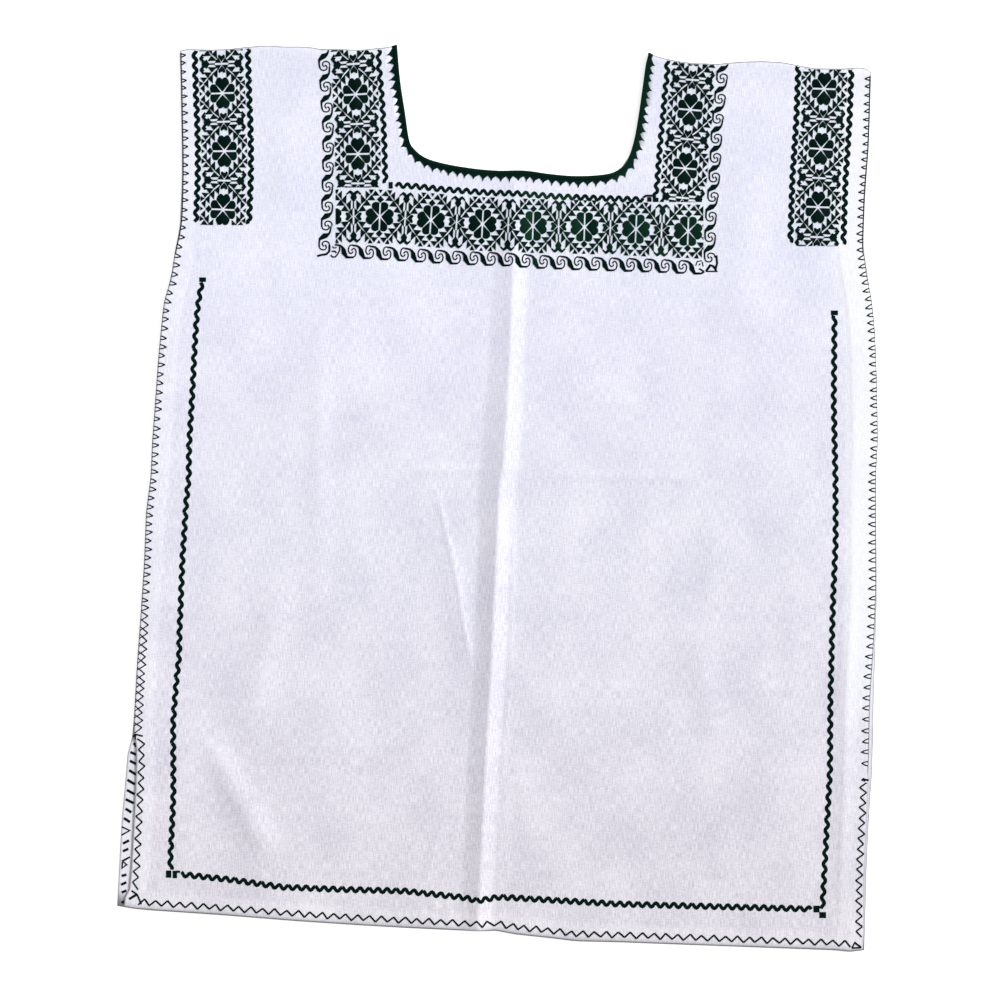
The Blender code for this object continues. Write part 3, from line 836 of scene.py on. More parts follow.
# Small shapes take this share of the bar's painted highlight.
SMALL_SHAPE_HIGHLIGHT = 0.4
SIDE_DIAMOND = ((9.2, 0.0), (11.6, 3.2), (14.2, 0.0), (11.6, -3.2))
SIDE_POINT = ((15.9, 0.0), (18.3, 1.8), (18.3, -1.8))
POINT_SHIFT = 8.1
STAR_POINT = ((0.8, 1.15), (5.1, 1.15), (2.8, 4.3))
STAR_BAR = ((5.5, 0.55), (10.4, 0.55), (10.4, -0.55), (5.5, -0.55))
STAR_CROWN = ((0.0, 1.7), (2.7, 5.0), (2.7, 6.8), (1.7, 7.4), (0.9, 6.6), (0.0, 6.2))
STAR_BUD = (
    (16.3, 0.0), (15.8, 0.9), (16.1, 2.0), (17.4, 3.6), (18.0, 4.9), (15.4, 8.4), (14.3, 7.7), (15.6, 5.5),
    (14.8, 6.0), (13.9, 5.2), (15.0, 4.2), (14.4, 3.3), (13.4, 2.7), (12.1, 3.6), (11.0, 1.8), (9.4, 0.0),
)


def mirrored(outline):
    """An outline and its mirrors, left out where a mirror falls on one that is there."""
    found = []
    for across, along_band in ((1, 1), (-1, 1), (1, -1), (-1, -1)):
        made = np.array(outline, float) * (across, along_band)
        if not any(np.allclose(np.sort(made, axis=0), np.sort(other, axis=0)) for other in found):
            found.append(made)
    return found


def both_halves(outline):
    """A half outline that starts and ends on the middle line, closed by its mirror."""
    half = np.array(outline, float)
    return np.vstack((half, (half * (-1, 1))[::-1][1:-1]))


FLOWER_OUTLINES = (both_halves(HEART), PETAL, SIDE_DIAMOND, SIDE_POINT)
FLOWER_SHAPES = [shape for outline in FLOWER_OUTLINES for shape in mirrored(outline)]
FLOWER_SHAPES += [grown(shape, LEAF_GROWTH) for outline in LEAVES for shape in mirrored(outline)]
for shift in (-POINT_SHIFT, POINT_SHIFT):
    FLOWER_SHAPES += [shape + (0, shift) for shape in mirrored(SIDE_POINT)]


def star_shapes(bud):
    """A star's outlines, with the bud and arms whose half outline is given."""
    loop = np.vstack((bud, (np.array(bud) * (1, -1))[::-1][1:-1]))
    shapes = [shape for outline in (STAR_BAR, both_halves(STAR_CROWN), loop) for shape in mirrored(outline)]
    return shapes + [grown(shape, 0.3) for shape in mirrored(STAR_POINT)]


STAR_SHAPES = star_shapes(STAR_BUD)


def skein(outline, dye):
    """The tone of one shape, painted highlight included: each length of thread took the dye a little
    differently.
    """
    x, y = outline.mean(axis=0)
    return min(1.0, max(0.0, dye + 0.16 * math.sin(x * 2.9 + y * 1.7) * (0.35 + 1.6 * dye)))


def band_place(knots, places, widen):
    """Carries (across, along) places of a band onto the cloth, along its flower and star middles."""
    middles = np.array(knots, float)
    places = np.asarray(places, float)
    step = places[:, 1] / HALF_REPEAT
    low = np.clip(np.floor(step).astype(int), 0, len(middles) - 2)
    start = middles[low]
    run = middles[low + 1] - start
    point = start + run * (step - low)[:, None]
    way = np.gradient(middles, axis=0)
    near = np.clip(step, 0, len(middles) - 1)
    way_x = np.interp(near, np.arange(len(middles)), way[:, 0])
    way_y = np.interp(near, np.arange(len(middles)), way[:, 1])
    length = np.hypot(way_x, way_y)
    side = np.stack((-way_y / length, way_x / length), axis=1)
    return point + side * places[:, :1] * widen


def common_skein(x):
    return 0.0


def work_band(work, knots, first_is_flower, span, limits, widen=1.0, dye=common_skein, stars=STAR_SHAPES):
    """Works the repeat from one step of a band to another, cut off at the limits (direction, reach)."""
    knot_line = np.array(knots, float)
    total = knot_line[-1] - knot_line[0]
    run = tuple(total / np.linalg.norm(total))
    for step in range(span[0], span[1] + 1):
        flower = (step % 2 == 0) == first_is_flower
        for shape in FLOWER_SHAPES if flower else stars:
            outline = band_place(knots, shape + (0, step * HALF_REPEAT), widen)
            for normal, reach in limits:
                outline = clipped(outline, normal, reach) if len(outline) else outline
            if len(outline):
                share = 1.0 if abs(area_of(outline)) > LARGE_SHAPE else SMALL_SHAPE_HIGHLIGHT
                add_patch(work, outline, run, skein(outline, share * dye(outline[:, 0].mean())))


def work_wave(work, line, swing, period, width, dye=common_skein, start=0.0, crest=None):
    """A wavy line of close stitches. crest is a place of a bend to the right-hand side."""
    even = even_line(line, period / 8)
    runs = run_lengths(even)
    if crest is not None:
        start = period / 4 - runs[np.linalg.norm(even - np.array(crest), axis=1).argmin()]
    wave = np.sin(2 * math.pi * (runs + start) / period)
    wave = np.sign(wave) * np.abs(wave) ** 0.8
    side = square_to(even)
    for k in range(0, len(even) - 1, 24):
        part = slice(k, min(k + 25, len(even)))
        if len(even[part]) > 1:
            add_thread(work, even[part] + side[part] * (wave[part] * swing)[:, None], width, dye(even[k][0]))


# A sleeve band hangs from the shoulder fold near each armhole, with a wavy line on both its sides. It goes
# on over the fold and down the back as far as on the front.
WAVE_OFFSET = 21.4
WAVE_SWING = 1.2
WAVE_PERIOD = 7.9
WAVE_WIDTH = 3.3
LEFT_SLEEVE = (
    (-222.4, 349.8), (-221.8, 326.2), (-220.8, 303.3), (-220.2, 279.6), (-220.4, 255.9), (-221.4, 232.5),
)
LEFT_SLEEVE_END = 220.0
RIGHT_SLEEVE = (
    (263.0, 329.6), (262.2, 305.4), (260.6, 281.3), (259.0, 257.9), (258.2, 234.5), (257.4, 210.3),
)
RIGHT_SLEEVE_END = 203.1


def back_end(x, y):
    """Where a band that ends at y on the front ends on the back, as a place along the flat length."""
    return float(to_back(np.array(x), y))


def band_span(knots, end):
    """Steps and limits of a band that ends at y on the front and, led over the fold, at the same y behind."""
    reach_back = back_end(knots[2][0], end)
    steps_back = int((reach_back - knots[0][1]) / HALF_REPEAT) + 1
    return (-steps_back, len(knots)), (((0, -1), -end), ((0, 1), reach_back))


def sleeve_band(name, knots, first_is_flower, end, starts):
    work = new_work()
    span, limits = band_span(knots, end)
    reach_back = limits[1][1]
    work_band(work, knots, first_is_flower, span, limits)
    for side, start in zip((-1, 1), starts):
        places = [(side * WAVE_OFFSET, k * 3.0) for k in range(int(-(reach_back - knots[0][1]) / 3) - 1, 60)]
        line = band_place(knots, places, 1.0)
        line = line[(line[:, 1] > end) & (line[:, 1] < reach_back)]
        work_wave(work, line, WAVE_SWING, WAVE_PERIOD, WAVE_WIDTH, start=start)
    return sewn(name, work, thread)


left_sleeve_band = sleeve_band("left_sleeve_band", LEFT_SLEEVE, False, LEFT_SLEEVE_END, (3.4, -2.5))
right_sleeve_band = sleeve_band("right_sleeve_band", RIGHT_SLEEVE, True, RIGHT_SLEEVE_END, (0.0, 0.0))

# The yoke band frames the neck: two straps down from the shoulders and a bar below the neck, whose repeat
# lies on its side, shorter and wider. On the wearer's left half the bar's thread is painted lighter and
# greener, a painted highlight.
LEFT_STRAP = (
    (-116.2, 349.7), (-114.5, 325.2), (-113.4, 301.5), (-112.6, 277.2), (-112.6, 253.6),
)
LEFT_STRAP_END = 250.3
RIGHT_STRAP = (
    (156.9, 336.9), (155.2, 312.9), (152.8, 289.3), (151.0, 265.7), (148.9, 242.0),
)
RIGHT_STRAP_END = 238.6
BAR = (
    (-116.1, 226.9), (-95.0, 226.9), (-74.5, 225.3), (-53.8, 224.0), (-33.0, 222.3), (-12.2, 220.8),
    (8.6, 220.0), (28.5, 219.2), (49.2, 218.8), (70.0, 218.4), (90.8, 217.6), (111.5, 216.8), (132.2, 215.7),
    (153.5, 215.0),
)
BAR_WIDEN = 1.18
BAR_LEFT = -130.6
BAR_RIGHT = 165.8


# Painted highlight: the bar's thread turns lighter and greener right of the crease, less so past x 60.
def bar_painted_highlight(x):
    return float(np.clip((x - 14.0) / 10.0, 0, 1)) * (0.66 if x < 60 else 0.42)


def with_back(work):
    """The stitching with the same again on the back, straight under the front's."""
    points = np.array(work["points"], float)
    points[:, 1] = to_back(points[:, 0], points[:, 1])
    faces = [face[::-1] for face in work["faces"]]
    return joined(work, {"points": points.tolist(), "lay": work["lay"], "faces": faces})


def joined(first, second):
    """Two lots of stitching as one."""
    shift = len(first["points"])
    return {
        "points": list(first["points"]) + list(second["points"]),
        "lay": list(first["lay"]) + list(second["lay"]),
        "faces": list(first["faces"]) + [tuple(index + shift for index in face) for face in second["faces"]],
    }


straps = new_work()
for knots, end in ((LEFT_STRAP, LEFT_STRAP_END), (RIGHT_STRAP, RIGHT_STRAP_END)):
    work_band(straps, knots, False, *band_span(knots, end))
yoke_straps = sewn("yoke_straps", straps, thread)

# The bar's stars have closer, shorter arms than the straps'.
BAR_BUD = (
    (16.2, 0.0), (17.4, 1.7), (18.0, 3.3), (17.3, 4.5), (15.6, 6.7), (14.8, 5.9), (16.0, 4.3), (15.9, 3.4),
    (14.9, 2.2), (13.9, 2.5), (12.9, 3.0), (11.6, 2.0), (9.6, 0.0),
)
bar = new_work()
bar_limits = (((-1, 0), -BAR_LEFT), ((1, 0), BAR_RIGHT))
work_band(bar, BAR, False, (-1, len(BAR)), bar_limits, BAR_WIDEN, bar_painted_highlight, star_shapes(BAR_BUD))
yoke_bar = sewn("yoke_bar", with_back(bar), thread)

# The wavy line inside the yoke band runs down both straps and along the bar, with small blocks of stitching
# where it turns.
LEFT_STRAP_WAVE = (
    (-97.1, 361.1), (-95.8, 349.0), (-94.2, 332.8), (-92.9, 316.7), (-92.0, 300.6), (-91.2, 282.1),
    (-90.9, 264.3), (-90.3, 253.8),
)
RIGHT_STRAP_WAVE = (
    (138.5, 354.6), (136.6, 340.9), (134.8, 327.2), (133.7, 312.7), (132.3, 298.2), (130.8, 283.7),
    (129.6, 268.4), (128.4, 252.2), (126.8, 241.8),
)
BAR_WAVE = (
    (-82.0, 252.2), (-64.2, 251.0), (-46.5, 249.0), (-25.6, 247.4), (-6.2, 246.0), (18.0, 245.2),
    (47.0, 242.9), (82.5, 241.6), (117.1, 240.4),
)
# The straps' waves, as (line, period, a crest).
STRAP_WAVES = ((LEFT_STRAP_WAVE, 8.35, (-90.6, 259.3)), (RIGHT_STRAP_WAVE, 8.05, (127.5, 248.0)))
STRAP_WAVE_WIDTH = 3.1
BAR_WAVE_SWING = 1.6
BAR_WAVE_PERIOD = 6.83
BAR_WAVE_WIDTH = 2.8
BAR_WAVE_CREST = (-14.9, 246.4)
BAR_WAVE_END = ((117.1, 242.0), (119.5, 243.6), (124.4, 243.6))
BAR_WAVE_END_WIDTH = 2.0
TURN_BLOCKS = ((-86.2, 252.0, 3.2, 5.2), (127.3, 240.3, 4.6, 3.4), (122.2, 240.6, 3.4, 3.6))


def add_block(work, x, y, wide, high):
    """A filled block of stitching, from its middle and its size."""
    corners = ((-1, -1), (1, -1), (1, 1), (-1, 1))
    add_patch(work, [(x + across * wide / 2, y + along_y * high / 2) for across, along_y in corners])


def over_the_fold(line):
    """A strap's line, led on over the shoulder fold to the same place on the back."""
    front = np.array(line, float)
    front = front[front[:, 1] < fold_top(front[:, 0]) - 1.0]
    turn = [(front[0][0], float(fold_top(front[0][0])) + NOSE_RUN * part) for part in (0.0, 0.5, 1.0)]
    back = np.stack((front[:, 0], to_back(front[:, 0], front[:, 1])), axis=1)
    return np.vstack((front[::-1], turn, back))


# Painted highlight on the stretch of the bar's wave right of the crease.
def bar_wave_painted_highlight(x):
    return 0.6 if 18 < x < 50 else 0.05


waves = new_work()
for line, period, crest in STRAP_WAVES:
    work_wave(waves, over_the_fold(line), WAVE_SWING, period, STRAP_WAVE_WIDTH, crest=crest)
bar_wave = new_work()
bar_wave_sizes = (BAR_WAVE_SWING, BAR_WAVE_PERIOD, BAR_WAVE_WIDTH)
work_wave(bar_wave, BAR_WAVE, *bar_wave_sizes, bar_wave_painted_highlight, crest=BAR_WAVE_CREST)
add_thread(bar_wave, BAR_WAVE_END, BAR_WAVE_END_WIDTH)
for x, y, wide, high in TURN_BLOCKS:
    add_block(bar_wave, x, y, wide, high)
yoke_waves = sewn("yoke_waves", joined(waves, with_back(bar_wave)), thread)

# The scroll border runs outside the yoke band: a thick slanting stroke with a thin tail at each end, and a
# double curl in each gap. Places are (across, along) from the stroke's middle, for a border running down.
SCROLL_STROKE = (
    (4.4, 8.3), (4.5, 6.2), (4.2, 3.3), (3.4, 1.1), (1.5, -1.6), (-3.4, -4.0), (-3.7, -5.6), (-3.6, -9.2),
    (-4.6, -9.5), (-4.9, -5.6), (-5.0, -2.6), (-1.9, 1.7), (1.6, 2.2), (2.9, 3.4), (3.4, 6.2), (3.5, 8.3),
)
SCROLL_CURL = (
    (4.0, 0.0), (3.9, 1.5), (3.1, 2.8), (1.8, 3.4), (0.1, 3.5), (-1.2, 2.7), (-1.75, 1.4), (-1.2, 0.0),
    (-0.3, -0.6),
)
CURL_WIDTH = 1.15
CURL_SHIFT = -8.0
BAR_STROKE_STEP = 14.02
BAR_SCROLL_ALONG = 0.875
BAR_SCROLL_ACROSS = 1.2
LEFT_SCROLL = (
    (-139.8, 356.1), (-139.0, 339.5), (-138.1, 322.7), (-136.9, 306.6), (-136.5, 290.5), (-136.5, 274.8),
    (-136.8, 258.7), (-137.2, 242.9), (-137.3, 227.6), (-139.0, 211.4),
)
RIGHT_SCROLL = (
    (181.5, 346.0), (180.0, 329.7), (178.4, 313.6), (176.9, 297.7), (176.1, 282.1), (175.1, 266.3),
    (174.2, 250.6), (172.6, 234.7), (171.6, 218.2), (171.1, 201.8),
)
BAR_SCROLL = (
    (-124.2, 199.1), (-110.2, 198.6), (-82.0, 196.9), (-53.0, 195.0), (-23.9, 193.5), (1.9, 192.6),
    (29.3, 190.8), (62.3, 189.4), (94.5, 188.4), (127.6, 187.4), (156.2, 186.1),
)


def turned_scroll(places, x, y, way, along_scale, across_scale):
    """Places of the chart at one stroke of a border, whose unit direction is way."""
    places = np.asarray(places, float)
    run = np.array(way)
    side = np.array((-run[1], run[0]))
    return np.array((x, y)) - run * places[:, 1:] * along_scale + side * places[:, :1] * across_scale


def work_scroll(work, middles, along_scale, across_scale, dye=common_skein, last_curl=True):
    """Works a stroke at each middle and the double curl that follows it."""
    middles = np.array(middles, float)
    ways = np.gradient(middles, axis=0)
    ways /= np.linalg.norm(ways, axis=1)[:, None]
    for k in range(len(middles)):
        x, y = middles[k]
        shade = dye(x)
        stroke = turned_scroll(SCROLL_STROKE, x, y, ways[k], along_scale, across_scale)
        add_patch(work, stroke, tuple(ways[k]), shade)
        if k == len(middles) - 1 and not last_curl:
            continue
        for turn in (1, -1):
            curl = rounded_line(np.array(SCROLL_CURL) * turn, 2) + (0.15, CURL_SHIFT)
            add_thread(work, turned_scroll(curl, x, y, ways[k], along_scale, across_scale), CURL_WIDTH, shade)


def scroll_over_fold(middles):
    """Stroke middles of a strap's border, led on over the fold at the same spacing."""
    first = np.array(middles[0])
    step = first - np.array(middles[1])
    reach_back = back_end(first[0], middles[-1][1])
    count = int((reach_back - first[1]) / step[1])
    return [tuple(first + step * k) for k in range(count, 0, -1)] + list(middles)


# Painted highlight on the stretch of the bar's scroll right of the crease.
def bar_scroll_painted_highlight(x):
    return 0.5 if 24 < x < 40 else 0.0


scrolls = new_work()
for middles in (LEFT_SCROLL, RIGHT_SCROLL):
    work_scroll(scrolls, scroll_over_fold(middles), 1.0, 1.0)
bar_scroll = new_work()
bar_strokes = even_line(BAR_SCROLL, BAR_STROKE_STEP)
work_scroll(bar_scroll, bar_strokes, BAR_SCROLL_ALONG, BAR_SCROLL_ACROSS, bar_scroll_painted_highlight, False)
# Where the borders meet, each ends in a foot or a broken curl of its own, as ((x, y) places, width).
CORNER_THREADS = (
    (((-135.6, 203.6), (-135.7, 199.0), (-138.0, 196.5), (-142.0, 195.9), (-145.4, 195.0)), 1.9),
    (
        (
            (-127.5, 202.4), (-127.4, 199.6), (-128.8, 196.8), (-130.9, 194.3), (-133.4, 194.3),
            (-134.6, 195.9),
        ),
        1.3,
    ),
    (((-133.4, 202.7), (-131.9, 201.4), (-129.7, 201.9)), 1.0),
    (((-133.7, 198.8), (-131.2, 198.8), (-130.0, 197.4)), 1.4),
    (((160.2, 181.1), (163.9, 180.9), (166.4, 182.3)), 1.7), (((162.4, 184.8), (166.4, 182.3)), 1.5),
    (((159.6, 187.2), (160.9, 190.6), (164.6, 191.2)), 1.0), (((164.9, 190.3), (165.5, 186.6)), 1.0),
    (((162.1, 187.6), (163.3, 188.8)), 1.0),
    (((167.9, 182.9), (171.4, 187.6), (173.6, 186.8), (175.8, 184.0)), 2.0),
    (((176.2, 195.5), (176.8, 189.0), (175.8, 186.0), (175.6, 182.8)), 1.9),
    (((167.6, 182.6), (177.2, 182.6)), 1.2),
)
for line, width in CORNER_THREADS:
    add_thread(bar_scroll, line, width)
yoke_scrolls = sewn("yoke_scrolls", joined(scrolls, with_back(bar_scroll)), thread)

# A wavy row runs down each side of the front and one across above the hem, with a block at every end. Rows
# are tables of (x, y), blocks are (x, y, width, height).
LEFT_ROW = (
    (-238.4, 173.6), (-240.3, 163.6), (-242.3, 149.5), (-243.9, 126.5), (-246.1, 85.4), (-248.8, 41.0),
    (-249.0, 16.0), (-251.2, -4.7), (-252.4, -25.0), (-253.9, -45.8), (-254.8, -66.4), (-255.7, -90.0),
    (-256.4, -104.2), (-256.8, -127.6), (-258.8, -145.8), (-260.3, -163.8), (-261.6, -180.9),
    (-261.5, -199.1), (-261.4, -215.0), (-261.4, -240.0), (-262.2, -259.0), (-263.8, -290.0),
    (-263.6, -299.5),
)
RIGHT_ROW = (
    (271.5, 147.0), (270.9, 77.3), (272.3, 14.5), (272.4, -35.5), (270.3, -82.3), (268.2, -162.9),
    (267.8, -220.1), (263.8, -292.6), (261.8, -331.0),
)
HEM_ROW = (
    (-255.2, -303.4), (-213.3, -307.9), (-173.9, -313.6), (-135.2, -315.2), (-75.5, -316.8), (-29.0, -321.8),
    (-15.9, -324.1), (1.9, -321.6), (45.0, -324.2), (98.6, -327.3), (180.0, -329.4), (252.7, -331.3),
)
ROW_BLOCKS = (
    (-237.8, 176.0, 5.4, 3.6), (271.4, 149.2, 5.6, 3.7), (-265.2, -303.2, 4.2, 5.8),
    (-260.2, -303.5, 3.4, 6.0), (-257.6, -301.3, 3.4, 1.8), (257.0, -331.3, 4.8, 5.4),
    (262.0, -336.2, 5.4, 4.8),
)
# The rows, as (line, swing, period, width, a crest).
ROWS = (
    (LEFT_ROW, 1.15, 8.86, 3.3, (-262.0, -188.2)),
    (RIGHT_ROW, 1.15, 9.0, 3.3, (269.0, -223.1)),
    (HEM_ROW, 1.6, 7.25, 3.1, (-244.1, -305.0)),
)
rows = new_work()
for line, swing, period, width, crest in ROWS:
    work_wave(rows, line, swing, period, width, crest=crest)
for x, y, wide, high in ROW_BLOCKS:
    add_block(rows, x, y, wide, high)
wave_rows = sewn("wave_rows", rows, thread)

# The neck edge is bound all the way round with close dark stitches that wrap the cut cloth, so each one
# shows as a fine ridge, and every few of them reach further in to make a tooth.
BINDING_WIDTH = 4.3
BINDING_SIDE_WIDTH = 3.5
STITCH_RIDGE = 1.3
RIDGE_HEIGHT = 0.13

# Thickness of the binding outside and inside the cloth's face, lying flat and on the turn of the fold.
BINDING_OUTER = (0.52, 0.33)
BINDING_INNER = (1.05, 0.78)
# Places round the binding, as (part of the width, part of the thickness, how much of the ridge shows).
BINDING_SECTION = (
    (0.0, -0.45, 0.0), (0.0, 0.55, 0.0), (0.16, 0.95, 0.4), (0.50, 1.0, 1.0), (0.85, 0.85, 1.0),
    (1.0, 0.25, 1.0), (1.0, -0.5, 0.3), (0.60, -1.0, 0.3), (0.20, -0.95, 0.3),
)


def binding_width(y):
    """How wide the worked edge is: narrower beside the neck than below it."""
    on_side = min(1.0, max(0.0, (y - 272.0) / 14.0)) * min(1.0, max(0.0, (366.0 - y) / 14.0))
    return BINDING_WIDTH + (BINDING_SIDE_WIDTH - BINDING_WIDTH) * on_side


def binding_work():
    """Sections across the edge, closely spaced so that every stitch's ridge shows."""
    step = STITCH_RIDGE / 4
    line = even_line(np.vstack((neck_loop, neck_loop[:1])), step)[:-1]
    closed = np.vstack((line[-1:], line, line[:1]))
    inward = square_to(closed)[1:-1]
    work = new_work()
    for k in range(len(line)):
        past = line[k][1] - float(fold_top(line[k][0]))
        part = min(1.0, max(0.0, past / NOSE_RUN))
        outer, inner = [flat + (turned - flat) * part for flat, turned in (BINDING_OUTER, BINDING_INNER)]
        ridge = RIDGE_HEIGHT * math.cos(2 * math.pi * k / 4)
        wide = binding_width(float(on_front(line[k][0], line[k][1])))
        for across, rise, show in BINDING_SECTION:
            x, y = line[k] + inward[k] * (wide * across + 0.25 * ridge * show)
            level = rise * outer + ridge * show * (1 - 0.6 * part) if rise > 0 else rise * inner
            work["points"].append((x, y, level))
            # Lighter on the right of the neck. Across the binding the thread is painted darker away from the
            # neck opening, as shade.
            dye = (0.42 if x > 90 else 0.22) * (1.25 - across)
            work["lay"].append((k * step, across * wide, dye))
    add_tube(work, 0, len(BINDING_SECTION), len(line), True)
    return work


# Teeth of the worked edge, by stretch of the neck, as (start part, end part, spacing, reach, slant).
TEETH = (
    (0.004, 0.100, 6.4, 8.8, 1.6), (0.100, 0.285, 6.4, 7.8, 1.6), (0.285, 0.360, 6.4, 8.6, 1.2),
    (0.360, 0.640, 7.0, 9.0, 0.4), (0.640, 0.720, 6.6, 8.8, -0.6), (0.720, 0.860, 6.7, 8.4, -1.8),
    (0.860, 0.994, 6.7, 7.2, -1.8),
)
TOOTH_STEP = 0.5
TOOTH_SHOULDER = 0.78


def tooth_work():
    """Teeth between the binding and their tips, a little uneven in place and reach."""
    work = new_work()
    line = even_line(neck_front, TOOTH_STEP)
    inward = square_to(line)
    for start, end, spacing, reach, slant in TEETH:
        first = int(start * (len(line) - 1))
        last = int(end * (len(line) - 1))
        count = max(1, round((last - first) * TOOTH_STEP / spacing))
        for k in range(count):
            phases = [j * 2.6 + start * 40 for j in (k, k + 1)]
            shift = [round(1.7 * math.sin(p)) * (j not in (0, count)) for j, p in zip((k, k + 1), phases)]
            low, high = [first + (last - first) * (k + j) // count + shift[j] for j in (0, 1)]
            tip = min(len(line) - 1, max(0, (low + high) // 2 + int(slant * 2)))
            wide = binding_width(line[tip][1])
            base_low, base_high = [line[j] + inward[j] * (wide - 1.0) for j in (low, high)]
            side_low, side_high = [line[j] + inward[j] * (wide + 0.3) for j in (low, high)]
            point = line[tip] + inward[tip] * (reach + 0.6 * math.sin(k * 2.3 + start * 9))
            half_low, half_high = (side_low + point) / 2, (side_high + point) / 2
            mid_low = half_low * TOOTH_SHOULDER + half_high * (1 - TOOTH_SHOULDER)
            mid_high = half_high * TOOTH_SHOULDER + half_low * (1 - TOOTH_SHOULDER)
            tip_low = point + (mid_low - point) * 0.12
            outline = (base_low, base_high, side_high, mid_high, point, tip_low, mid_low, side_low)
            add_patch(work, outline, tuple(inward[tip]), 0.4 if line[tip][0] > 90 else 0.15, 0.4)
    return work


binding = sewn("neck_binding", binding_work(), thread, wraps_fold=True)
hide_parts("neck_edging")
neck_teeth = sewn("neck_teeth", with_back(tooth_work()), thread)

# Looped stitches hold the armhole edges and side seams: pairs of thin threads that meet in a small knot
# inside the edge, over a thread laid along the edge itself.

# Depth and half spread of a pair by level, the crossed pairs of the left edge being deep and wide low down.
LOOP_LEVELS = (-200, -104, -84, 200, 310, 350)
LOOP_SHAPES = {
    "crossed": ((7.0, 6.9, 5.6, 5.3, 5.0, 4.3), (5.1, 5.1, 1.9, 1.8, 1.5, 1.4)),
    "plain": ((5.6, 5.6, 5.6, 5.3, 5.0, 4.3), (1.9, 1.9, 1.9, 1.8, 1.5, 1.4)),
}
# Spacing of the pairs by level, and how far their tips lean up.
SPACING_LEVELS = (-200, 0, 200, 350)
LEFT_SPACINGS = (6.2, 7.0, 7.6, 6.5)
RIGHT_SPACINGS = (9.0, 6.85, 6.6, 6.5)
LEFT_LEAN = 0.2
RIGHT_LEAN = -0.3
LOOP_THREAD = 1.1
LOOP_LAY = 0.3
KNOT_WIDTH = 1.5
THREAD_LAY_FINE = 0.36

# Thread laid along the edge, as (width, distance in, lay): thick on the armholes, thin below them.
HIGH_EDGE_THREAD = (0.9, 0.95, 0.3)
LOW_EDGE_THREAD = (0.3, 0.3, 0.2)
ARMHOLE_FOOT = 195.0
VENT_TOP_LEFT = -190.0
VENT_TOP_RIGHT = -222.0


def edge_between(table, high_y, low_y):
    """Even points, half a millimetre apart, on the part of an edge between two levels."""
    line = even_line(rounded_line(table, 4), 0.5)
    return line[(line[:, 1] <= high_y) & (line[:, 1] >= low_y)]


def looped_stitches(work, line, into, spacings, lean, kind):
    """Stitch pairs along an edge. into is +1 or -1 for the side of the line on which the cloth lies."""
    inward = square_to(line) * into
    depths, spreads = LOOP_SHAPES[kind]
    place = 2.4
    count = 0
    while place < (len(line) - 4) * 0.5:
        centre = int(place * 2)
        level = line[centre][1]
        depth = np.interp(level, LOOP_LEVELS, depths) + 0.4 * math.sin(count * 2.7 + 0.8)
        tip = line[centre] + inward[centre] * depth + (0, lean + 0.4 * math.sin(count * 1.3))
        for side in (-1, 1):
            spread = np.interp(level, LOOP_LEVELS, spreads) + 0.3 * math.sin(count * 2.1 + side)
            foot_index = min(len(line) - 1, max(0, centre + int(side * spread * 2)))
            foot = line[foot_index] + inward[foot_index] * 0.5
            bulge = (0, (0.4 if spread < 3 else 0.1) * side)
            add_thread(work, (foot, (foot + tip) / 2 - bulge, tip), LOOP_THREAD, lay=LOOP_LAY)
        reach = inward[centre]
        add_thread(work, (tip - reach * 0.7, tip + reach * 0.3), KNOT_WIDTH, lay=THREAD_LAY_FINE)
        place += np.interp(level, SPACING_LEVELS, spacings) + 0.4 * math.sin(count * 1.9)
        count += 1
    high = line[:, 1] > ARMHOLE_FOOT
    for part, (width, inside, lay) in ((high, HIGH_EDGE_THREAD), (~high, LOW_EDGE_THREAD)):
        add_thread(work, line[part][::6] + inward[part][::6] * inside, width, lay=lay)


loops = new_work()
left_side = edge_between(FRONT_LEFT, 358.8, VENT_TOP_LEFT)
right_side = edge_between(FRONT_RIGHT, 340.0, VENT_TOP_RIGHT)
looped_stitches(loops, left_side, -1, LEFT_SPACINGS, LEFT_LEAN, "crossed")
looped_stitches(loops, right_side, 1, RIGHT_SPACINGS, RIGHT_LEAN, "plain")
edge_loops = sewn("edge_loops", with_back(loops), thread)

# Thin zigzag thread turns down the vents and the hem, and slanted single stitches hold the back's own vent
# edge where it shows on the left.
ZIGZAG_THREAD = 1.35
HEM_THREAD = 1.55
HEM_STITCH_START = -290.5
HEM_STITCH_END = 285.5


def zigzag(work, line, into, near, far, half_period, width):
    """Thread that goes to and fro between two distances inside an edge."""
    inward = square_to(line) * into
    stride = half_period * 2
    points = []
    for k in range(int((len(line) - 1) / stride) + 1):
        index = min(len(line) - 1, int(k * stride + 0.6 * math.sin(k * 2.1)))
        reach = near if k % 2 == 0 else far
        points.append(line[index] + inward[index] * (reach + 0.35 * math.sin(k * 1.7)))
    for start, end in zip(points[:-1], points[1:]):
        add_thread(work, (start, (start + end) / 2, end), width, lay=THREAD_LAY_FINE)


hem_line = even_line(rounded_line(HEM_LINE, 4), 0.5)
hem_line = hem_line[(hem_line[:, 0] > HEM_STITCH_START) & (hem_line[:, 0] < HEM_STITCH_END)]
# The zigzags, as (line, side the cloth is on, near distance, far distance, half period, width).
ZIGZAGS = (
    (edge_between(FRONT_LEFT, -194.0, -318.0), -1, 2.0, 6.9, 4.45, ZIGZAG_THREAD),
    (edge_between(FRONT_RIGHT, -229.0, -358.0), 1, 1.3, 6.4, 4.15, ZIGZAG_THREAD),
    (hem_line, -1, 3.2, 7.8, 4.8, HEM_THREAD),
)
zigzags = new_work()
for run in ZIGZAGS:
    zigzag(zigzags, *run)
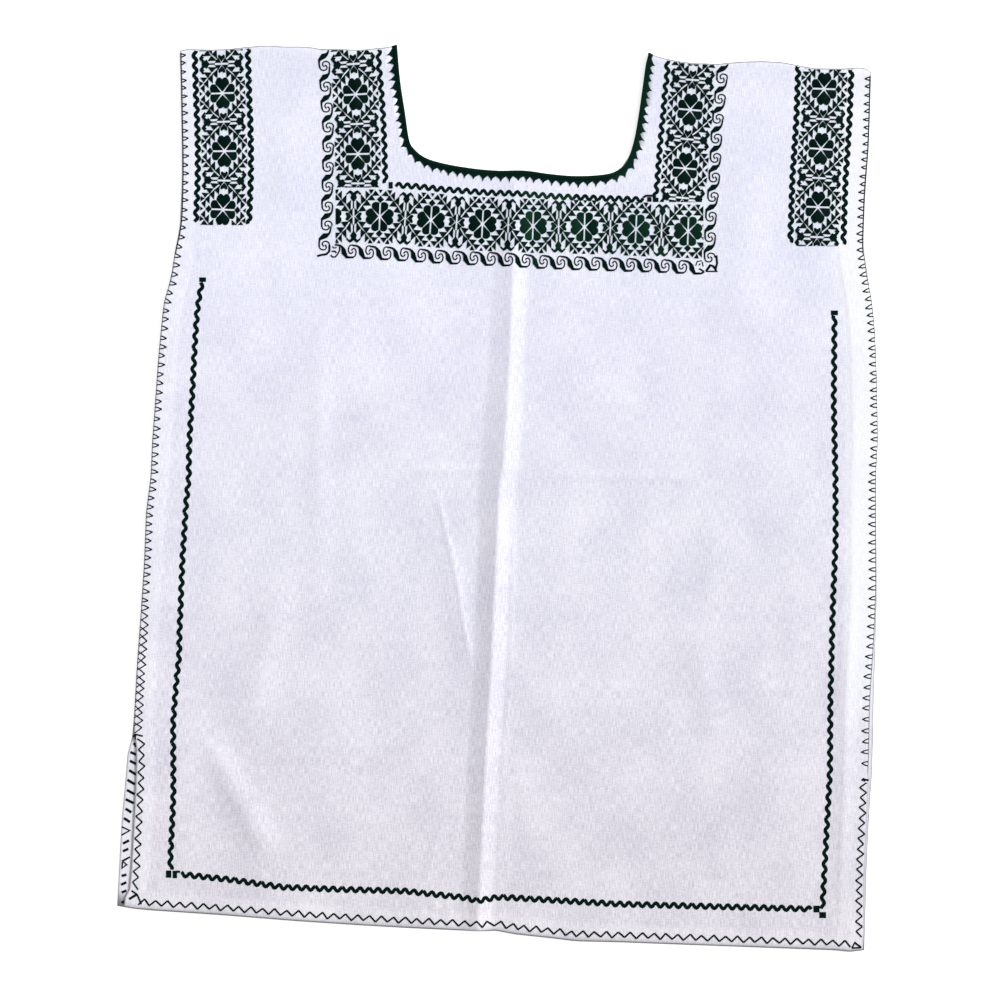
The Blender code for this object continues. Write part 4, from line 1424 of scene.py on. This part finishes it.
# Knots and single stitches where the runs of thread begin and end, as ((x, y) places, width).
KNOTS = (
    (((-291.9, -190.5), (-286.0, -191.9)), 1.5), (((-291.9, -190.5), (-294.2, -192.6)), 1.5),
    (((-291.9, -190.5), (-292.2, -194.8)), 1.5), (((-296.9, -323.2), (-290.5, -319.3)), 2.2),
    (((-295.0, -316.5), (-290.5, -319.6), (-287.2, -327.4)), 1.5),
    (((293.3, -227.2), (296.0, -227.0), (298.9, -227.6)), 1.9), (((294.6, -225.6), (295.6, -228.6)), 1.2),
    (((285.6, -362.6), (287.7, -358.4), (293.0, -362.2)), 1.5), (((293.0, -362.3), (285.6, -362.8)), 1.5),
)
for line, width in KNOTS:
    add_thread(zigzags, line, width, lay=THREAD_LAY_FINE)
vent_and_hem = sewn("vent_and_hem_stitches", with_back(zigzags), thread)


def on_back_panel(x, y, rise):
    """Place of points on the upper side of the back, where it stands out of the vent."""
    return laid_place(x, y, np.asarray(rise, float) + BACK_OUTER + CLOTH_THICK)


# Stitches of the back's strip, each as the (x, y) of its places. Those with more than two turn back.
STRIP_STITCHES = (
    ((-293.6, -197.6), (-291.4, -200.6)), ((-296.2, -205.0), (-291.0, -207.2)),
    ((-296.7, -211.9), (-291.2, -214.9)), ((-297.2, -219.6), (-291.6, -223.2)),
    ((-298.7, -227.3), (-292.6, -231.0)), ((-299.0, -235.5), (-292.8, -239.0)),
    ((-300.0, -243.0), (-293.6, -246.2)), ((-300.2, -250.6), (-295.4, -253.6)),
    ((-301.5, -258.2), (-296.6, -261.4)), ((-303.2, -265.3), (-296.8, -268.2), (-303.3, -271.9)),
    ((-302.2, -278.7), (-297.3, -276.2)), ((-302.2, -284.9), (-297.9, -283.0)),
    ((-296.6, -289.5), (-302.5, -292.8), (-299.3, -295.6), (-303.0, -298.8), (-302.6, -293.4)),
    ((-303.2, -304.8), (-299.4, -303.8)), ((-303.7, -311.9), (-299.5, -310.0)),
    ((-303.2, -318.2), (-299.4, -316.6)), ((-303.4, -326.6), (-301.4, -325.4)),
)
STRIP_THREAD = 2.3
STRIP_LOOP_THREAD = 1.5
strip = new_work()
for places in STRIP_STITCHES:
    add_thread(strip, places, STRIP_THREAD if len(places) == 2 else STRIP_LOOP_THREAD, lay=LOOP_LAY)
vent_strip_stitches = sewn("vent_strip_stitches", strip, thread, on_back_panel)

# The garment lies on a plain pale floor, seen from straight above, in soft light from the upper right.
FLOOR_SIZE = 7.0
FLOOR_CELLS = 12
FLOOR_GAP = 0.0002
VIEW_WIDTH = 0.806
LENS = 70.0
SENSOR = 36.0
VIEW_MIDDLE = (0.0021, -0.0014)
SUN_STRENGTH = 3.9
SUN_SPREAD = 14
SUN_TILT = (-27, 58)
SKY_STRENGTH = 0.50
FLOOR_GLOW = 0.55
FLOOR_DARK = 0.955
FLOOR_LIGHT = 0.975

bpy.ops.mesh.primitive_grid_add(
    x_subdivisions=FLOOR_CELLS, y_subdivisions=FLOOR_CELLS, size=FLOOR_SIZE, location=(0, 0, -FLOOR_GAP)
)
floor = bpy.context.object
floor.name = "floor"
floor_looks = {
    "Roughness": 0.9,
    "Specular IOR Level": 0.1,
    "Emission Color": (1.0, 1.0, 1.0, 1.0),
    "Emission Strength": FLOOR_GLOW,
}
floor_finish, floor_tree, floor_shader = new_material("pale_floor", floor_looks)
floor_noise = new_node(floor_tree, "ShaderNodeTexNoise", (-500, 100), {"Scale": 40.0}).outputs["Fac"]
floor_colour = mixed(floor_tree, (-250, 100), floor_noise, (FLOOR_DARK,) * 3, (FLOOR_LIGHT,) * 3)
floor_tree.links.new(floor_colour, floor_shader.inputs["Base Color"])
floor.data.materials.append(floor_finish)

sun_data = bpy.data.lights.new("window_light", "SUN")
sun_data.energy = SUN_STRENGTH
sun_data.angle = math.radians(SUN_SPREAD)
sun = new_object("window_light", sun_data)
sun.rotation_euler = (math.radians(SUN_TILT[0]), math.radians(SUN_TILT[1]), 0)

sky = bpy.data.worlds.new("soft_room")
sky.use_nodes = True
sky_light = sky.node_tree.nodes["Background"].inputs
sky_light["Color"].default_value = (1.0, 1.0, 1.0, 1.0)
sky_light["Strength"].default_value = SKY_STRENGTH
bpy.context.scene.world = sky
bpy.context.scene.view_settings.view_transform = "Standard"

camera_data = bpy.data.cameras.new("view_from_above")
camera_data.lens = LENS
camera_data.sensor_width = SENSOR
camera_data.clip_end = 20.0
camera = new_object("view_from_above", camera_data)
camera.location = (*VIEW_MIDDLE, FRONT_OUTER * MM + VIEW_WIDTH * LENS / SENSOR)
bpy.context.scene.camera = camera
